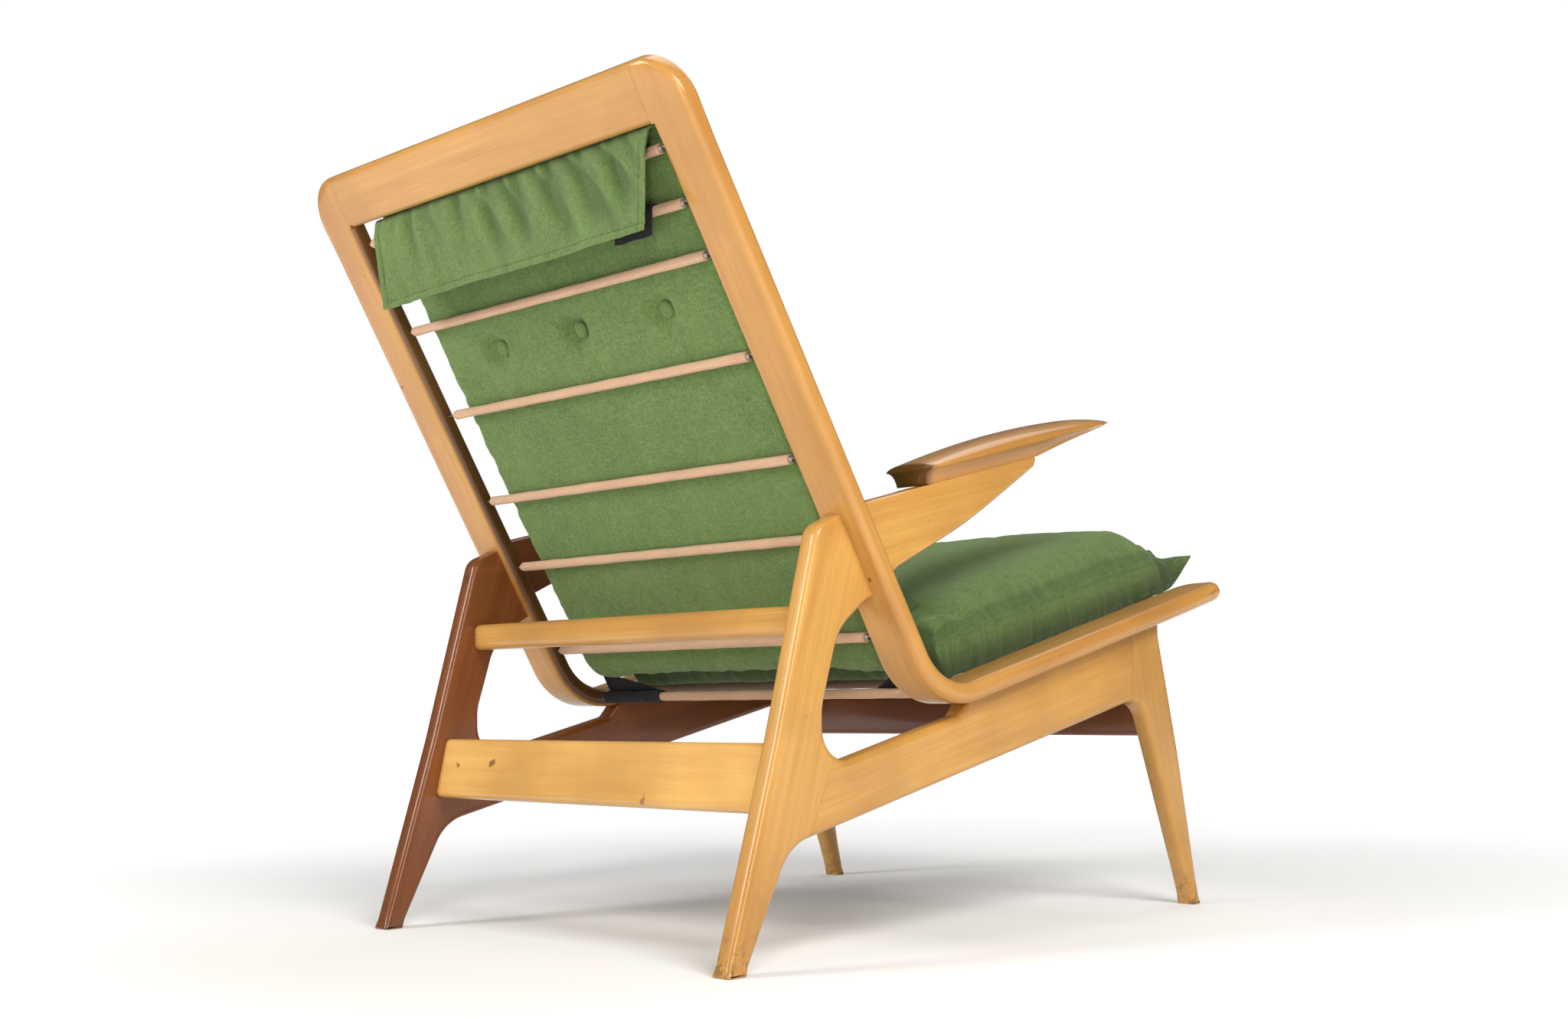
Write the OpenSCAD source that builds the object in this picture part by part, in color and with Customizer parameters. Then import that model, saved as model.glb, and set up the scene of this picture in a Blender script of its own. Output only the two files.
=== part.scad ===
// Low lounge armchair: two bent side planks with tension springs between them
// make the seat and back, and stand on two splayed side frames joined by rails.
// Two sculpted armrests, a loose seat cushion and a tied back cushion complete it.
// The chair faces -Y. Left and right are the sitter's: left is +X, right is -X.
// The origin is on the floor, at the middle of the chair's outer box.

/* [Bent side planks] */
// Overall width, across both side planks
shell_w = 700; // [670:1:750]
// Width of each side plank, across the chair
plank_w = 60; // [54:1:66]
// Thickness of the side planks and the crest rail
plank_t = 23; // [20:0.5:27]
// Length of the back, from the corner of the outer faces to the top
back_len = 752; // [725:1:790]
// Length of the seat, from the corner of the outer faces to the plank tips
seat_len = 546; // [525:1:570]
// Lean of the back from vertical, degrees
back_lean = 28.8; // [26:0.1:31]
// Rise of the seat towards the front, degrees
seat_rise = 14; // [12:0.1:16]
// Outer radius of the bend between seat and back
bend_r = 90; // [78:1:100]
// Height of the corner of the outer faces above the floor
knee_h = 243; // [235:1:260]
// Plan radius of the outer corner of each plank tip
tip_outer_r = 20; // [12:1:28]
// Plan radius of the inner corner of each plank tip
tip_inner_r = 34; // [20:1:38]
// Radius of the rounded edges at the top of the back
edge_r = 7; // [4:0.5:9]

/* [Rails of the shell] */
// Height of the crest rail, along the back
crest_w = 65; // [55:1:75]
// Radius of the outer top corners of the back
crest_corner_r = 54; // [40:1:58]
// Depth of the hidden front rail of the seat, along the seat
seat_rail_d = 40; // [30:1:50]
// Distance from the plank tips to the front rail of the seat
seat_rail_set = 58; // [48:1:75]

/* [Side frames] */
// Set-in of the legs' outer faces from the outer sides of the planks
leg_set = 23.5; // [18:0.5:30]
// Thickness of the legs and side rails, across the chair
leg_t = 26; // [22:1:30]
// Reach of the rear feet behind the corner of the outer faces
rear_foot_out = 287; // [270:1:305]
// Reach of the front feet before the corner of the outer faces
front_foot_out = 481; // [465:1:495]
// Depth of the rear feet on the floor
rear_foot_d = 25; // [20:1:30]
// Depth of the front feet on the floor
front_foot_d = 14; // [11:1:20]
// Place of the top of the rear leg's head, along the back
head_top = 250; // [235:1:262]
// Place of the low corner of the rear leg's head, along the back
head_low = 151; // [142:1:160]
// Depth of the rear leg's head behind the back
head_back = 34; // [30:1:40]
// Hollow of the rear leg's rear edge
rear_hollow = 4; // [0:0.5:6]
// Reach of the notch between rear leg and side rail behind the corner of the outer faces
notch_out = 149; // [140:1:158]
// Height of the notch between rear leg and side rail
notch_h = 196; // [190:1:204]
// Depth of the front leg where it meets the underside of the side rail
front_leg_d = 53; // [46:0.5:60]
// Height of the arch behind the front leg
arch_h = 255; // [246:1:262]
// Rise of the side rail's lower edge towards the front, degrees
rail_rise = 13; // [12:0.1:14]
// Reach of the joint between side rail and front leg
front_joint_out = 364; // [358:1:370]
// Depth of the front leg where it meets the plank
front_head_d = 52; // [46:1:60]
// Bulge of the front leg's front edge
front_bulge = 4; // [0:0.5:6]

/* [Cross rails of the base] */
// Thickness of the stretchers and the front cross rail
rail_t = 20; // [17:1:23]
// Height of the upper stretcher
upper_h = 32; // [28:1:38]
// Reach of the upper stretcher's middle behind the corner of the outer faces
upper_out = 145; // [140:1:152]
// Height of the upper stretcher's middle above the floor
upper_z = 349; // [335:1:360]
// Height of the lower stretcher
lower_h = 72; // [60:1:80]
// Reach of the lower stretcher's middle behind the corner of the outer faces
lower_out = 196; // [190:1:202]
// Height of the lower stretcher's middle above the floor
lower_z = 188; // [180:1:196]
// Lean of the lower stretcher, degrees
lower_lean = 13.5; // [10:0.5:17]
// Height of the front cross rail
cross_h = 52; // [46:1:56]
// Reach of the front cross rail's middle before the corner of the outer faces
cross_out = 411; // [406:1:416]
// Height of the front cross rail's middle above the floor
cross_z = 233.5; // [230:0.5:238]

/* [Armrests] */
// Thickness of the arm brackets, across the chair
bracket_t = 24; // [20:1:28]
// Distance from the plank's outer face to the bracket's outer face
bracket_set = 5; // [2:1:12]
// Place of the bracket's top, along the back
bracket_top = 247; // [238:1:256]
// Place of the bracket's bottom, along the back
bracket_low = 166; // [158:1:174]
// Rise of the armrests towards the front, degrees
arm_rise = 12.8; // [10:0.1:15]
// Length of the bracket's top edge
bracket_len = 284; // [265:1:300]
// Depth of the bracket's front end
bracket_nose = 11; // [8:1:16]
// Sag of the bracket's lower edge below a straight line
bracket_sag = 7; // [4:0.5:10]
// Distance from the plank to the rear end of the arm pad
pad_set = 99; // [92:1:106]
// Length of the arm pad
pad_len = 345; // [325:1:365]
// Widest width of the arm pad
pad_w = 84; // [76:1:90]
// Height of the arm pad's crown above the underside of its edge
pad_crown = 21; // [16:1:26]
// Thickness of the arm pad's edge
pad_edge = 7; // [5:0.5:9]
// Depth of the arm pad's underside below its edge
pad_keel = 14; // [11:1:17]
// Width of the arm pad's flat underside
pad_keel_w = 50; // [42:1:54]

/* [Springs] */
// Outer diameter of the spring sleeves
sleeve_d = 11.5; // [10:0.5:13]
// Bore of the spring sleeves
sleeve_bore = 8.6; // [7:0.2:9.2]
// Gap between each sleeve's end and the plank
sleeve_gap = 13; // [9:1:18]
// Diameter of the closed coils inside the sleeves
coil_d = 8; // [6.4:0.2:8.2]
// Diameter of the spring wire at the hooked ends
wire_d = 2.4; // [2:0.1:3]
// Depth of the hook holes in the planks
hook_depth = 12; // [8:1:16]
// Distance from the crest rail to the top back spring
top_spring_drop = 27; // [25:1:32]
// Angle of the lowest back spring round the bend, behind straight down, degrees
bend_spring_angle = 7; // [4:1:12]
// Distance from the corner of the outer faces to the first seat spring
seat_spring_start = 106; // [102:1:112]
// Distance between seat springs
seat_spring_pitch = 77; // [70:1:78]

/* [Dowels] */
// Diameter of the dowels
dowel_d = 10; // [8:0.5:11]
// Half the length of a dowel, the depth that it enters each piece
dowel_in = 24; // [20:1:28]
// Depth that a dowel enters a plank through its thickness
dowel_plank = 12; // [9:1:15]

/* [Cushions] */
// Gap at each side of a cushion that lies midway between the planks
cushion_gap = 16; // [14:0.5:28]
// Sideways place of the cushions, which lie a little off the middle
cushion_shift = -12; // [-14:1:10]
// Thickness of the seat cushion at its crown
seat_thick = 90; // [76:1:94]
// Place of the seat cushion's rear edge, along the seat
seat_rear = 78; // [77:1:90]
// Distance from the plank tips to the seat cushion's front edge
seat_front_set = 16; // [14:1:30]
// Thickness of the back cushion at its crown
back_thick = 70; // [62:1:72]
// Place of the back cushion's lower edge, along the back
back_low = 42; // [40:1:52]
// Distance from the top of the back to the back cushion's upper edge
back_drop = 42; // [34:1:60]
// How far the front corners of the seat cushion stand out as ears
ear = 23; // [14:1:26]
// How far the seams of the cushions are drawn in between the corners
draw_in = 7; // [3:1:10]
// Distance between the tufted buttons
button_pitch = 154; // [130:1:165]
// Diameter of the buttons
button_d = 20; // [16:1:24]
// Place of the buttons, along the back
button_z = 493; // [480:1:505]
// Depth of the tufts
tuft = 9; // [5:1:12]

/* [Flap and ties] */
// Set-in of the flap's sides from the sides of the back cushion
flap_set = 11; // [6:0.5:18]
// Width that the flap loses at each side, down to its hem
flap_taper = 15; // [0:1:25]
// Length of the hanging flap, from its fold to its hem
flap_drop = 90; // [80:1:100]
// Thickness of the doubled cloth
cloth_t = 3; // [2:0.2:3.4]
// Height of the flap's fold above the top spring
fold_rise = 7; // [5:0.5:9]
// Depth of the flap's folds at its hem
fold_depth = 3.5; // [1:0.5:5]
// Width of the lower tie on the left
left_tie_w = 112; // [60:1:130]
// Width of the lower tie on the right
right_tie_w = 58; // [40:1:80]
// Thickness of the ties
tie_t = 2; // [1.6:0.1:2.4]
// Width of the flap's tie
flap_tie_w = 62; // [40:1:70]
// Distance of the flap's tie from the flap's right-hand side, to the tie's middle
flap_tie_set = 81; // [50:1:110]
// Length that the flap's tie hangs below its spring
flap_tie_drop = 22; // [16:1:26]

/* [Hidden] */

// Number of springs under the seat cushion
seat_spring_count = 5;
// Clearance between pieces that rest on each other
rest_gap = 0.3;
// Radial clearance of a dowel or a hook in its bore
bore_gap = 0.05;
// Length that reaches past any piece of the chair
far = 1500;
// Steps in a quarter turn of a small rounded corner
corner_steps = 5;
// Steps along the bend of the planks
bend_steps = 20;

// Half width between the inner faces of the planks
inner_x = shell_w / 2 - plank_w;
// Widths of the cushions and of the flap
cushion_w = 2 * (inner_x - cushion_gap);
flap_w = cushion_w - 2 * flap_set;
// Outer and inner faces of the legs
leg_out_x = shell_w / 2 - leg_set;
leg_in_x = leg_out_x - leg_t;
// Middle of the legs across the chair
leg_mid_x = leg_out_x - leg_t / 2;
// Middle of the brackets across the chair, and of the pads, flush with the brackets' outer faces
arm_x = shell_w / 2 - bracket_set - bracket_t / 2;
pad_x = arm_x + bracket_t / 2 - pad_keel_w / 2;

// Turn of the bend, and the length that it takes from each straight
turn = 90 + seat_rise - back_lean;
bend_run = bend_r * tan(turn / 2);

// Reach of the plank tips and of the back's top from the corner of the outer faces
front_reach = (seat_len - plank_t / 2) * cos(seat_rise) + plank_t / 2
    - plank_t / 2 * sin(seat_rise);
rear_reach = (back_len - edge_r) * sin(back_lean) - edge_r * cos(back_lean) + edge_r;
// Y of the corner of the outer faces, which puts the origin at the box's middle
knee_y = (front_reach - rear_reach) / 2;

// Points of the side view, as [y, z]
function seat_pt(along, off) = [
    knee_y - along * cos(seat_rise) + off * sin(seat_rise),
    knee_h + along * sin(seat_rise) + off * cos(seat_rise)];
function back_pt(along, off) = [
    knee_y + along * sin(back_lean) - off * cos(back_lean),
    knee_h + along * cos(back_lean) + off * sin(back_lean)];
// Middle of the bend
bend_mid = seat_pt(bend_run, bend_r);

// Points on an arc, from one angle to another
function arc(mid, r, from, to, steps) =
    [for (i = [0:steps]) mid + r * [cos(from + (to - from) * i / steps),
        sin(from + (to - from) * i / steps)]];
// Point where two lines meet, each given by a point and a direction
function meet(p, d, q, e) =
    p + d * ((q.x - p.x) * e.y - (q.y - p.y) * e.x) / (d.x * e.y - d.y * e.x);
// Points of a closed outline whose corners are [y, z, radius]
function fillet(corners, steps) = [for (i = [0:len(corners) - 1])
    each rounded(corners[(i + len(corners) - 1) % len(corners)], corners[i],
        corners[(i + 1) % len(corners)], steps)];
function flat2(p) = [p.x, p.y];
function unit(v) = v / norm(v);
function rounded(before, here, after, steps) =
    let (a = unit(flat2(before) - flat2(here)), b = unit(flat2(after) - flat2(here)),
        half = acos(a * b) / 2, r = here[2],
        mid = flat2(here) + unit(a + b) * r / sin(half),
        p = flat2(here) + a * r / tan(half) - mid,
        q = flat2(here) + b * r / tan(half) - mid,
        side = sign(p.x * q.y - p.y * q.x), from = atan2(p.y, p.x))
    r == 0 ? [flat2(here)] : arc(mid, r, from, from + side * (180 - 2 * half), steps);
// Outline of a rectangle with rounded corners, centred
function rounded_box(w, h, r) = fillet([[w / 2, h / 2, r], [-w / 2, h / 2, r],
    [-w / 2, -h / 2, r], [w / 2, -h / 2, r]], corner_steps);

// Extrudes a side view across the chair, from one x to another
module across(from_x, to_x) {
    translate([from_x, 0, 0])
        rotate([90, 0, 90])
            linear_extrude(to_x - from_x)
                children();
}
// Frame of the seat: y runs to the rear along it and z out of its top
module seat_frame() {
    translate([0, knee_y, knee_h])
        rotate([-seat_rise, 0, 0])
            children();
}
// Frame of the back: z runs up along it and y out of its rear face
module back_frame() {
    translate([0, knee_y, knee_h])
        rotate([-back_lean, 0, 0])
            children();
}
// Frame of an armrest: y runs to the rear along the bracket's top edge
module arm_frame() {
    start = back_pt(bracket_top, plank_t);
    translate([0, start.x, start.y])
        rotate([-arm_rise, 0, 0])
            children();
}
// The shape on the right side, or its mirror image on the left
module on_side(left) {
    if (left)
        mirror([1, 0, 0])
            children();
    else
        children();
}
// A rod along X, centred on its place
module x_rod(d, length) {
    rotate([0, 90, 0])
        cylinder(d = d, h = length, center = true, $fn = 32);
}
module wood() {
    color([0.86, 0.62, 0.33])
        children();
}
module dowel_wood() {
    color([0.88, 0.76, 0.55])
        children();
}
module cloth() {
    color([0.37, 0.52, 0.27])
        children();
}

// Places of the springs

// Shares of the top spring's place at which the straight back's springs lie
back_spring_shares = [1, 0.911, 0.823, 0.65, 0.469, 0.327, 0.143];
top_spring_z = back_len - crest_w - top_spring_drop;
// Side view places of all eight back springs, top to bottom
back_spring_places = concat(
    [for (share = back_spring_shares) back_pt(top_spring_z * share, plank_t / 2)],
    [bend_mid + (bend_r - plank_t / 2) * [sin(bend_spring_angle), -cos(bend_spring_angle)]]);
seat_spring_places = [for (i = [0:seat_spring_count - 1])
    seat_pt(seat_spring_start + i * seat_spring_pitch, plank_t / 2)];

// A spring's sleeve, coils with straight hooked ends, and the holes for the hooks
module spring_sleeve(place) {
    color([0.87, 0.68, 0.53])
        translate([0, place.x, place.y])
            difference() {
                x_rod(sleeve_d, 2 * (inner_x - sleeve_gap));
                x_rod(sleeve_bore, 2 * inner_x);
            }
}
module spring_coils(place) {
    color([0.55, 0.55, 0.57])
        translate([0, place.x, place.y])
            union() {
                x_rod(coil_d, 2 * (inner_x - sleeve_gap));
                x_rod(wire_d, 2 * (inner_x + hook_depth - rest_gap));
            }
}
module hook_holes(places) {
    for (place = places)
        translate([0, place.x, place.y])
            x_rod(wire_d + 2 * bore_gap, 2 * (inner_x + hook_depth));
}

// Dowels: each module draws its group slimmer or wider by a radial clearance

module x_dowel(gap) {
    x_rod(dowel_d + 2 * gap, 2 * (dowel_in + gap));
}
// Crest rail to planks, two at each end
crest_dowel_share = 0.24;
module crest_dowel_set(gap) {
    back_frame()
        for (side = [-1, 1], step = [-1, 1])
            translate([side * inner_x, -plank_t / 2,
                back_len - crest_w / 2 + step * crest_w * crest_dowel_share])
                x_dowel(gap);
}
// Front rail of the seat to planks
seat_rail_t = (plank_t + sleeve_d) / 2;
module seat_rail_dowel_set(gap) {
    seat_frame()
        for (side = [-1, 1], step = [-1, 1])
            translate([side * inner_x,
                -(seat_len - seat_rail_set - seat_rail_d / 2) + step * seat_rail_d / 4,
                seat_rail_t / 2])
                x_dowel(gap);
}
// Stretchers and front cross rail to legs
module stretcher_dowel_set(gap) {
    for (side = [-1, 1], step = [-1, 1]) {
        translate([side * leg_in_x, knee_y + upper_out, upper_z + step * upper_h / 4])
            x_rod(dowel_d + 2 * gap, 2 * (dowel_in + gap) * rail_dowel_share);
        translate([side * leg_in_x, knee_y + lower_out, lower_z])
            rotate([lower_lean, 0, 0])
                translate([0, 0, step * lower_h / 4])
                    x_rod(dowel_d + 2 * gap, 2 * (dowel_in + gap) * rail_dowel_share);
        translate([side * leg_in_x, knee_y - cross_out, cross_z + step * cross_h / 4])
            x_rod(dowel_d + 2 * gap, 2 * (dowel_in + gap) * rail_dowel_share);
    }
}
// Share of a full dowel's depth that the thin legs can take
rail_dowel_share = 0.7;

// Outline of the side frames, in side view

foot_r = 2;
head_r = 22;
head_slope = 4;
slight_r = 720;
waist_r = 60;
notch_r = 32;
step_r = 10;
arch_r = 34;
crotch_r = 58;
// Places of the rear leg's waist, as shares of the way from the notch to the head
leg_waist_shares = [[0.01, 0.35], [0.35, 0.79]];
// Step of the side rail up to the plank, behind the seat's straight
step_run = 18;
step_drop = 18;
rail_start = bend_run + 6;

rear_foot_y = knee_y + rear_foot_out;
front_foot_y = knee_y - front_foot_out;
head_corner = back_pt(head_top, -head_back);
head_top_pt = back_pt(head_top - head_slope, 0);
head_low_pt = back_pt(head_low, 0);
notch_pt = [knee_y + notch_out, notch_h];
rail_dir = [cos(rail_rise), -sin(rail_rise)];
rear_foot_front = [rear_foot_y - rear_foot_d, 0];
// Slope of the rear leg's lower front edge, forward for each unit of height
shin_slope = 0.526;
rail_start_pt = seat_pt(rail_start, 0);
// Along the seat, the places of the front leg's joint and of its front corner
front_joint_along = front_joint_out / cos(seat_rise);
front_head_along = (front_joint_out + front_head_d) / cos(seat_rise);
front_head_pt = seat_pt(front_head_along, 0);
// Arch behind the front leg, a leg's depth behind its front edge
arch_pt = [front_foot_y + (front_head_pt.x - front_foot_y) * arch_h / front_head_pt.y + front_leg_d,
    arch_h];
crotch_pt = meet(arch_pt, rail_dir, rear_foot_front, [-shin_slope, 1]);
// Middle of the rear leg's rear edge, pushed forward by its hollow
rear_mid = (head_corner + [rear_foot_y, 0]) / 2 - [rear_hollow, 0];
// Middle of the front leg's front edge, pushed forward by its bulge
front_mid = (front_head_pt + [front_foot_y, 0]) / 2 - [front_bulge, 0];
waist_pts = [for (share = leg_waist_shares) [
    notch_pt.x + (head_low_pt.x - notch_pt.x) * share.x,
    notch_pt.y + (head_low_pt.y - notch_pt.y) * share.y]];

function corner(p, r) = [p.x, p.y, r];

module side_frame_outline() {
    polygon(fillet([
        corner(rear_foot_front, foot_r),
        [rear_foot_y, 0, foot_r],
        corner(rear_mid, slight_r),
        corner(head_corner, head_r),
        corner(head_top_pt, 0),
        corner(head_low_pt, 0),
        corner(waist_pts[1], waist_r),
        corner(waist_pts[0], waist_r),
        corner(notch_pt, notch_r),
        corner(rail_start_pt + [step_run, -step_drop], step_r),
        corner(rail_start_pt, 0),
        corner(front_head_pt, 0),
        corner(front_mid, slight_r),
        [front_foot_y, 0, foot_r],
        [front_foot_y + front_foot_d, 0, foot_r],
        corner(arch_pt, arch_r),
        corner(crotch_pt, crotch_r)], 2 * corner_steps));
}
// Joint between the rear leg and the side rail: a line between these two points
joint_top = notch_pt + [-notch_r / 2, notch_r / 2];
joint_low = crotch_pt + [-crotch_r / 4, -crotch_r / 4];
joint_angle = atan2(joint_low.y - joint_top.y, joint_low.x - joint_top.x);
// Half plane in front of the rear joint
module before_rear_joint() {
    translate(joint_top)
        rotate(joint_angle)
            translate([-far, -far])
                square([2 * far, far]);
}
// Half plane behind the front joint
module behind_front_joint() {
    translate([knee_y - front_joint_out, 0])
        square(far);
}
module side_dowel_places() {
    // Rear joint: across its line, at two places along it
    for (share = rear_joint_dowel_shares)
        translate(joint_top + (joint_low - joint_top) * share)
            rotate(joint_angle + 90)
                children();
    // Front joint: level, at two heights
    for (share = front_joint_dowel_shares)
        translate([knee_y - front_joint_out,
            arch_h + (seat_pt(front_joint_along, 0).y - arch_h) * share])
            children();
}
rear_joint_dowel_shares = [0.25, 0.52];
front_joint_dowel_shares = [0.28, 0.6];
// Dowels of the side frames, on one side or the other
module side_frame_dowel_set(gap) {
    for (side = [-1, 1])
        translate([side * leg_mid_x, 0, 0])
            rotate([90, 0, 90])
                side_dowel_places()
                    x_dowel(gap);
}
// Dowels that stand square to a plank's face, half in the plank and half below it
module plank_dowel(gap) {
    translate([0, 0, -dowel_in - gap])
        cylinder(d = dowel_d + 2 * gap, h = dowel_in + dowel_plank + 2 * gap, $fn = 32);
}
// Places of the side frame's dowels along the back, as shares of the head's reach
head_dowel_shares = [0.38, 0.76];
// Places along the seat, as shares of the way to the front joint
rail_dowel_shares = [0.4, 0.75];
// Place in the front leg's head, as a share of its depth
front_dowel_share = 0.42;
module shell_dowel_set(gap) {
    for (side = [-1, 1]) {
        back_frame()
            for (share = head_dowel_shares)
                translate([side * leg_mid_x, 0, head_low + (head_top - head_low) * share])
                    rotate([90, 0, 0])
                        plank_dowel(gap);
        seat_frame() {
            for (share = rail_dowel_shares)
                translate([side * leg_mid_x, -front_joint_along * share, 0])
                    plank_dowel(gap);
            translate([side * leg_mid_x, -front_joint_along - front_head_d * front_dowel_share, 0])
                plank_dowel(gap);
        }
    }
}
// Armrest dowels: two from each bracket into its plank, two up into its pad
arm_plank_shares = [0.24, 0.76];
arm_pad_shares = [0.46, 0.7];
pad_dowel_in = 13;
module arm_dowel_set(gap) {
    for (side = [-1, 1]) {
        back_frame()
            for (share = arm_plank_shares)
                translate([side * arm_x, -plank_t, bracket_low + (bracket_top - bracket_low) * share])
                    rotate([-90, 0, 0])
                        plank_dowel(gap);
        arm_frame()
            for (share = arm_pad_shares)
                translate([side * arm_x, -bracket_len * share, -dowel_in - gap])
                    cylinder(d = dowel_d + 2 * gap, h = dowel_in + pad_dowel_in + 2 * gap, $fn = 32);
    }
}

// The bent planks, with straight seat and back
tip_mid = seat_pt(seat_len - plank_t / 2, plank_t / 2);
plank_outline = concat(
    arc(bend_mid, bend_r, -90 - seat_rise, -back_lean, bend_steps),
    rounded(back_pt(0, 0), corner(back_pt(back_len, 0), edge_r), back_pt(back_len, plank_t),
        corner_steps),
    rounded(back_pt(back_len, 0), corner(back_pt(back_len, plank_t), edge_r),
        back_pt(0, plank_t), corner_steps),
    arc(bend_mid, bend_r - plank_t, -back_lean, -90 - seat_rise, bend_steps),
    arc(tip_mid, plank_t / 2, 90 - seat_rise, 270 - seat_rise, 3 * corner_steps));

module side_plank(left) {
    wood()
        difference() {
            on_side(left)
                intersection() {
                    across(-shell_w / 2, -inner_x)
                        polygon(plank_outline);
                    seat_frame()
                        linear_extrude(2 * far, center = true)
                            polygon(fillet([
                                [-shell_w / 2, far, 0],
                                [-shell_w / 2, -seat_len, tip_outer_r],
                                [-inner_x, -seat_len, tip_inner_r],
                                [-inner_x, far, 0]], 2 * corner_steps));
                    back_frame()
                        rotate([90, 0, 0])
                            linear_extrude(2 * far, center = true)
                                polygon(fillet([
                                    [-shell_w / 2, -far, 0],
                                    [-shell_w / 2, back_len, crest_corner_r],
                                    [-inner_x, back_len, 0],
                                    [-inner_x, -far, 0]], 2 * corner_steps));
                }
            crest_dowel_set(bore_gap);
            seat_rail_dowel_set(bore_gap);
            shell_dowel_set(bore_gap);
            arm_dowel_set(bore_gap);
            hook_holes(back_spring_places);
            hook_holes(seat_spring_places);
        }
}
module side_plank_left() {
    side_plank(true);
}
module side_plank_right() {
    side_plank(false);
}
module crest_rail() {
    wood()
        difference() {
            across(-inner_x, inner_x)
                polygon(fillet([
                    corner(back_pt(back_len, 0), edge_r),
                    corner(back_pt(back_len, plank_t), edge_r),
                    corner(back_pt(back_len - crest_w, plank_t), edge_r),
                    corner(back_pt(back_len - crest_w, 0), edge_r)], corner_steps));
            crest_dowel_set(bore_gap);
        }
}
module seat_front_rail() {
    wood()
        difference() {
            seat_frame()
                translate([-inner_x, -(seat_len - seat_rail_set), 0])
                    cube([2 * inner_x, seat_rail_d, seat_rail_t]);
            seat_rail_dowel_set(bore_gap);
        }
}

// Legs and side rails
module side_frame_part(left) {
    wood()
        difference() {
            on_side(left)
                across(-leg_out_x, -leg_in_x)
                    children();
            side_frame_dowel_set(bore_gap);
            shell_dowel_set(bore_gap);
            stretcher_dowel_set(bore_gap);
        }
}
module rear_leg(left) {
    side_frame_part(left)
        difference() {
            side_frame_outline();
            before_rear_joint();
        }
}
module side_rail(left) {
    side_frame_part(left)
        intersection() {
            side_frame_outline();
            before_rear_joint();
            behind_front_joint();
        }
}
module front_leg(left) {
    side_frame_part(left)
        difference() {
            side_frame_outline();
            behind_front_joint();
        }
}
module rear_leg_left() {
    rear_leg(true);
}
module rear_leg_right() {
    rear_leg(false);
}
module side_rail_left() {
    side_rail(true);
}
module side_rail_right() {
    side_rail(false);
}
module front_leg_left() {
    front_leg(true);
}
module front_leg_right() {
    front_leg(false);
}

// Cross rails of the base
rail_edge_r = 4;
module cross_piece(place, h, lean) {
    wood()
        difference() {
            across(-leg_in_x, leg_in_x)
                translate(place)
                    rotate(lean)
                        polygon(rounded_box(rail_t, h, rail_edge_r));
            stretcher_dowel_set(bore_gap);
        }
}
module upper_stretcher() {
    cross_piece([knee_y + upper_out, upper_z], upper_h, 0);
}
module lower_stretcher() {
    cross_piece([knee_y + lower_out, lower_z], lower_h, lower_lean);
}
module front_cross_rail() {
    cross_piece([knee_y - cross_out, cross_z], cross_h, 0);
}

// Arm brackets, in side view
arm_start = back_pt(bracket_top, plank_t);
arm_dir = [-cos(arm_rise), sin(arm_rise)];
arm_up = [sin(arm_rise), cos(arm_rise)];
bracket_low_pt = back_pt(bracket_low, plank_t);
bracket_tip = arm_start + arm_dir * bracket_len;
bracket_chin = bracket_tip - arm_dir * bracket_nose / 2 - arm_up * bracket_nose;
bracket_sag_pt = (bracket_chin + bracket_low_pt) / 2 - arm_up * bracket_sag;
nose_r = 3;
module arm_bracket(left) {
    wood()
        difference() {
            on_side(left)
                across(-arm_x - bracket_t / 2, -arm_x + bracket_t / 2)
                    polygon(fillet([
                        corner(arm_start, 0),
                        corner(bracket_tip, nose_r),
                        corner(bracket_chin, nose_r),
                        corner(bracket_sag_pt, slight_r),
                        corner(bracket_low_pt, 0)], 2 * corner_steps));
            arm_dowel_set(bore_gap);
        }
}
module arm_bracket_left() {
    arm_bracket(true);
}
module arm_bracket_right() {
    arm_bracket(false);
}

// Arm pads: a row of sections from the rear end to the rounded tip

// Places of the sections, as shares of the pad's length
pad_place_shares = [0, 0.03, 0.1, 0.2, 0.3, 0.4, 0.5, 0.6, 0.66, 0.73, 0.8, 0.86, 0.91, 0.95, 0.975,
    0.99, 1];
// Share of the pad's length where the tip starts to round
pad_tip_share = 0.74;
// Share of the widest width at the rear end, and the place of the widest width
pad_rear_share = 0.865;
pad_wide_share = 0.5;
// Share of the length where the underside leaves the bracket
pad_lift_share = 0.54;
// Share of the crown that is lost half a length away from its peak, and the place of the peak
pad_fall_share = 0.8;
pad_peak_share = 0.48;
// Least share of the width at the very tip
pad_point_share = 0.16;
// Steps of the underside and of the top in each section's half
pad_steps = 5;
function pad_round(t) = t < pad_tip_share ? 1
    : max(pad_point_share, sqrt(max(0, 1 - pow((t - pad_tip_share) / (1 - pad_tip_share), 2))));
function pad_half(t) = pad_w / 2 * pad_round(t)
    * (1 - (1 - pad_rear_share) * pow((t - pad_wide_share) / pad_wide_share, 2));
function pad_bottom(t) = t < pad_lift_share ? 0
    : pad_keel * sin(90 * (t - pad_lift_share) / (1 - pad_lift_share));
function pad_rim(t) = pad_keel + pad_edge * pad_round(t);
function pad_top(t) = pad_rim(t) + (pad_crown - pad_edge) * pad_round(t)
    * (1 - pad_fall_share * pow(2 * (t - pad_peak_share), 2));
function pad_keel_half(t) = min(pad_keel_w / 2, pad_half(t) * 2 / 3);
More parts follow.
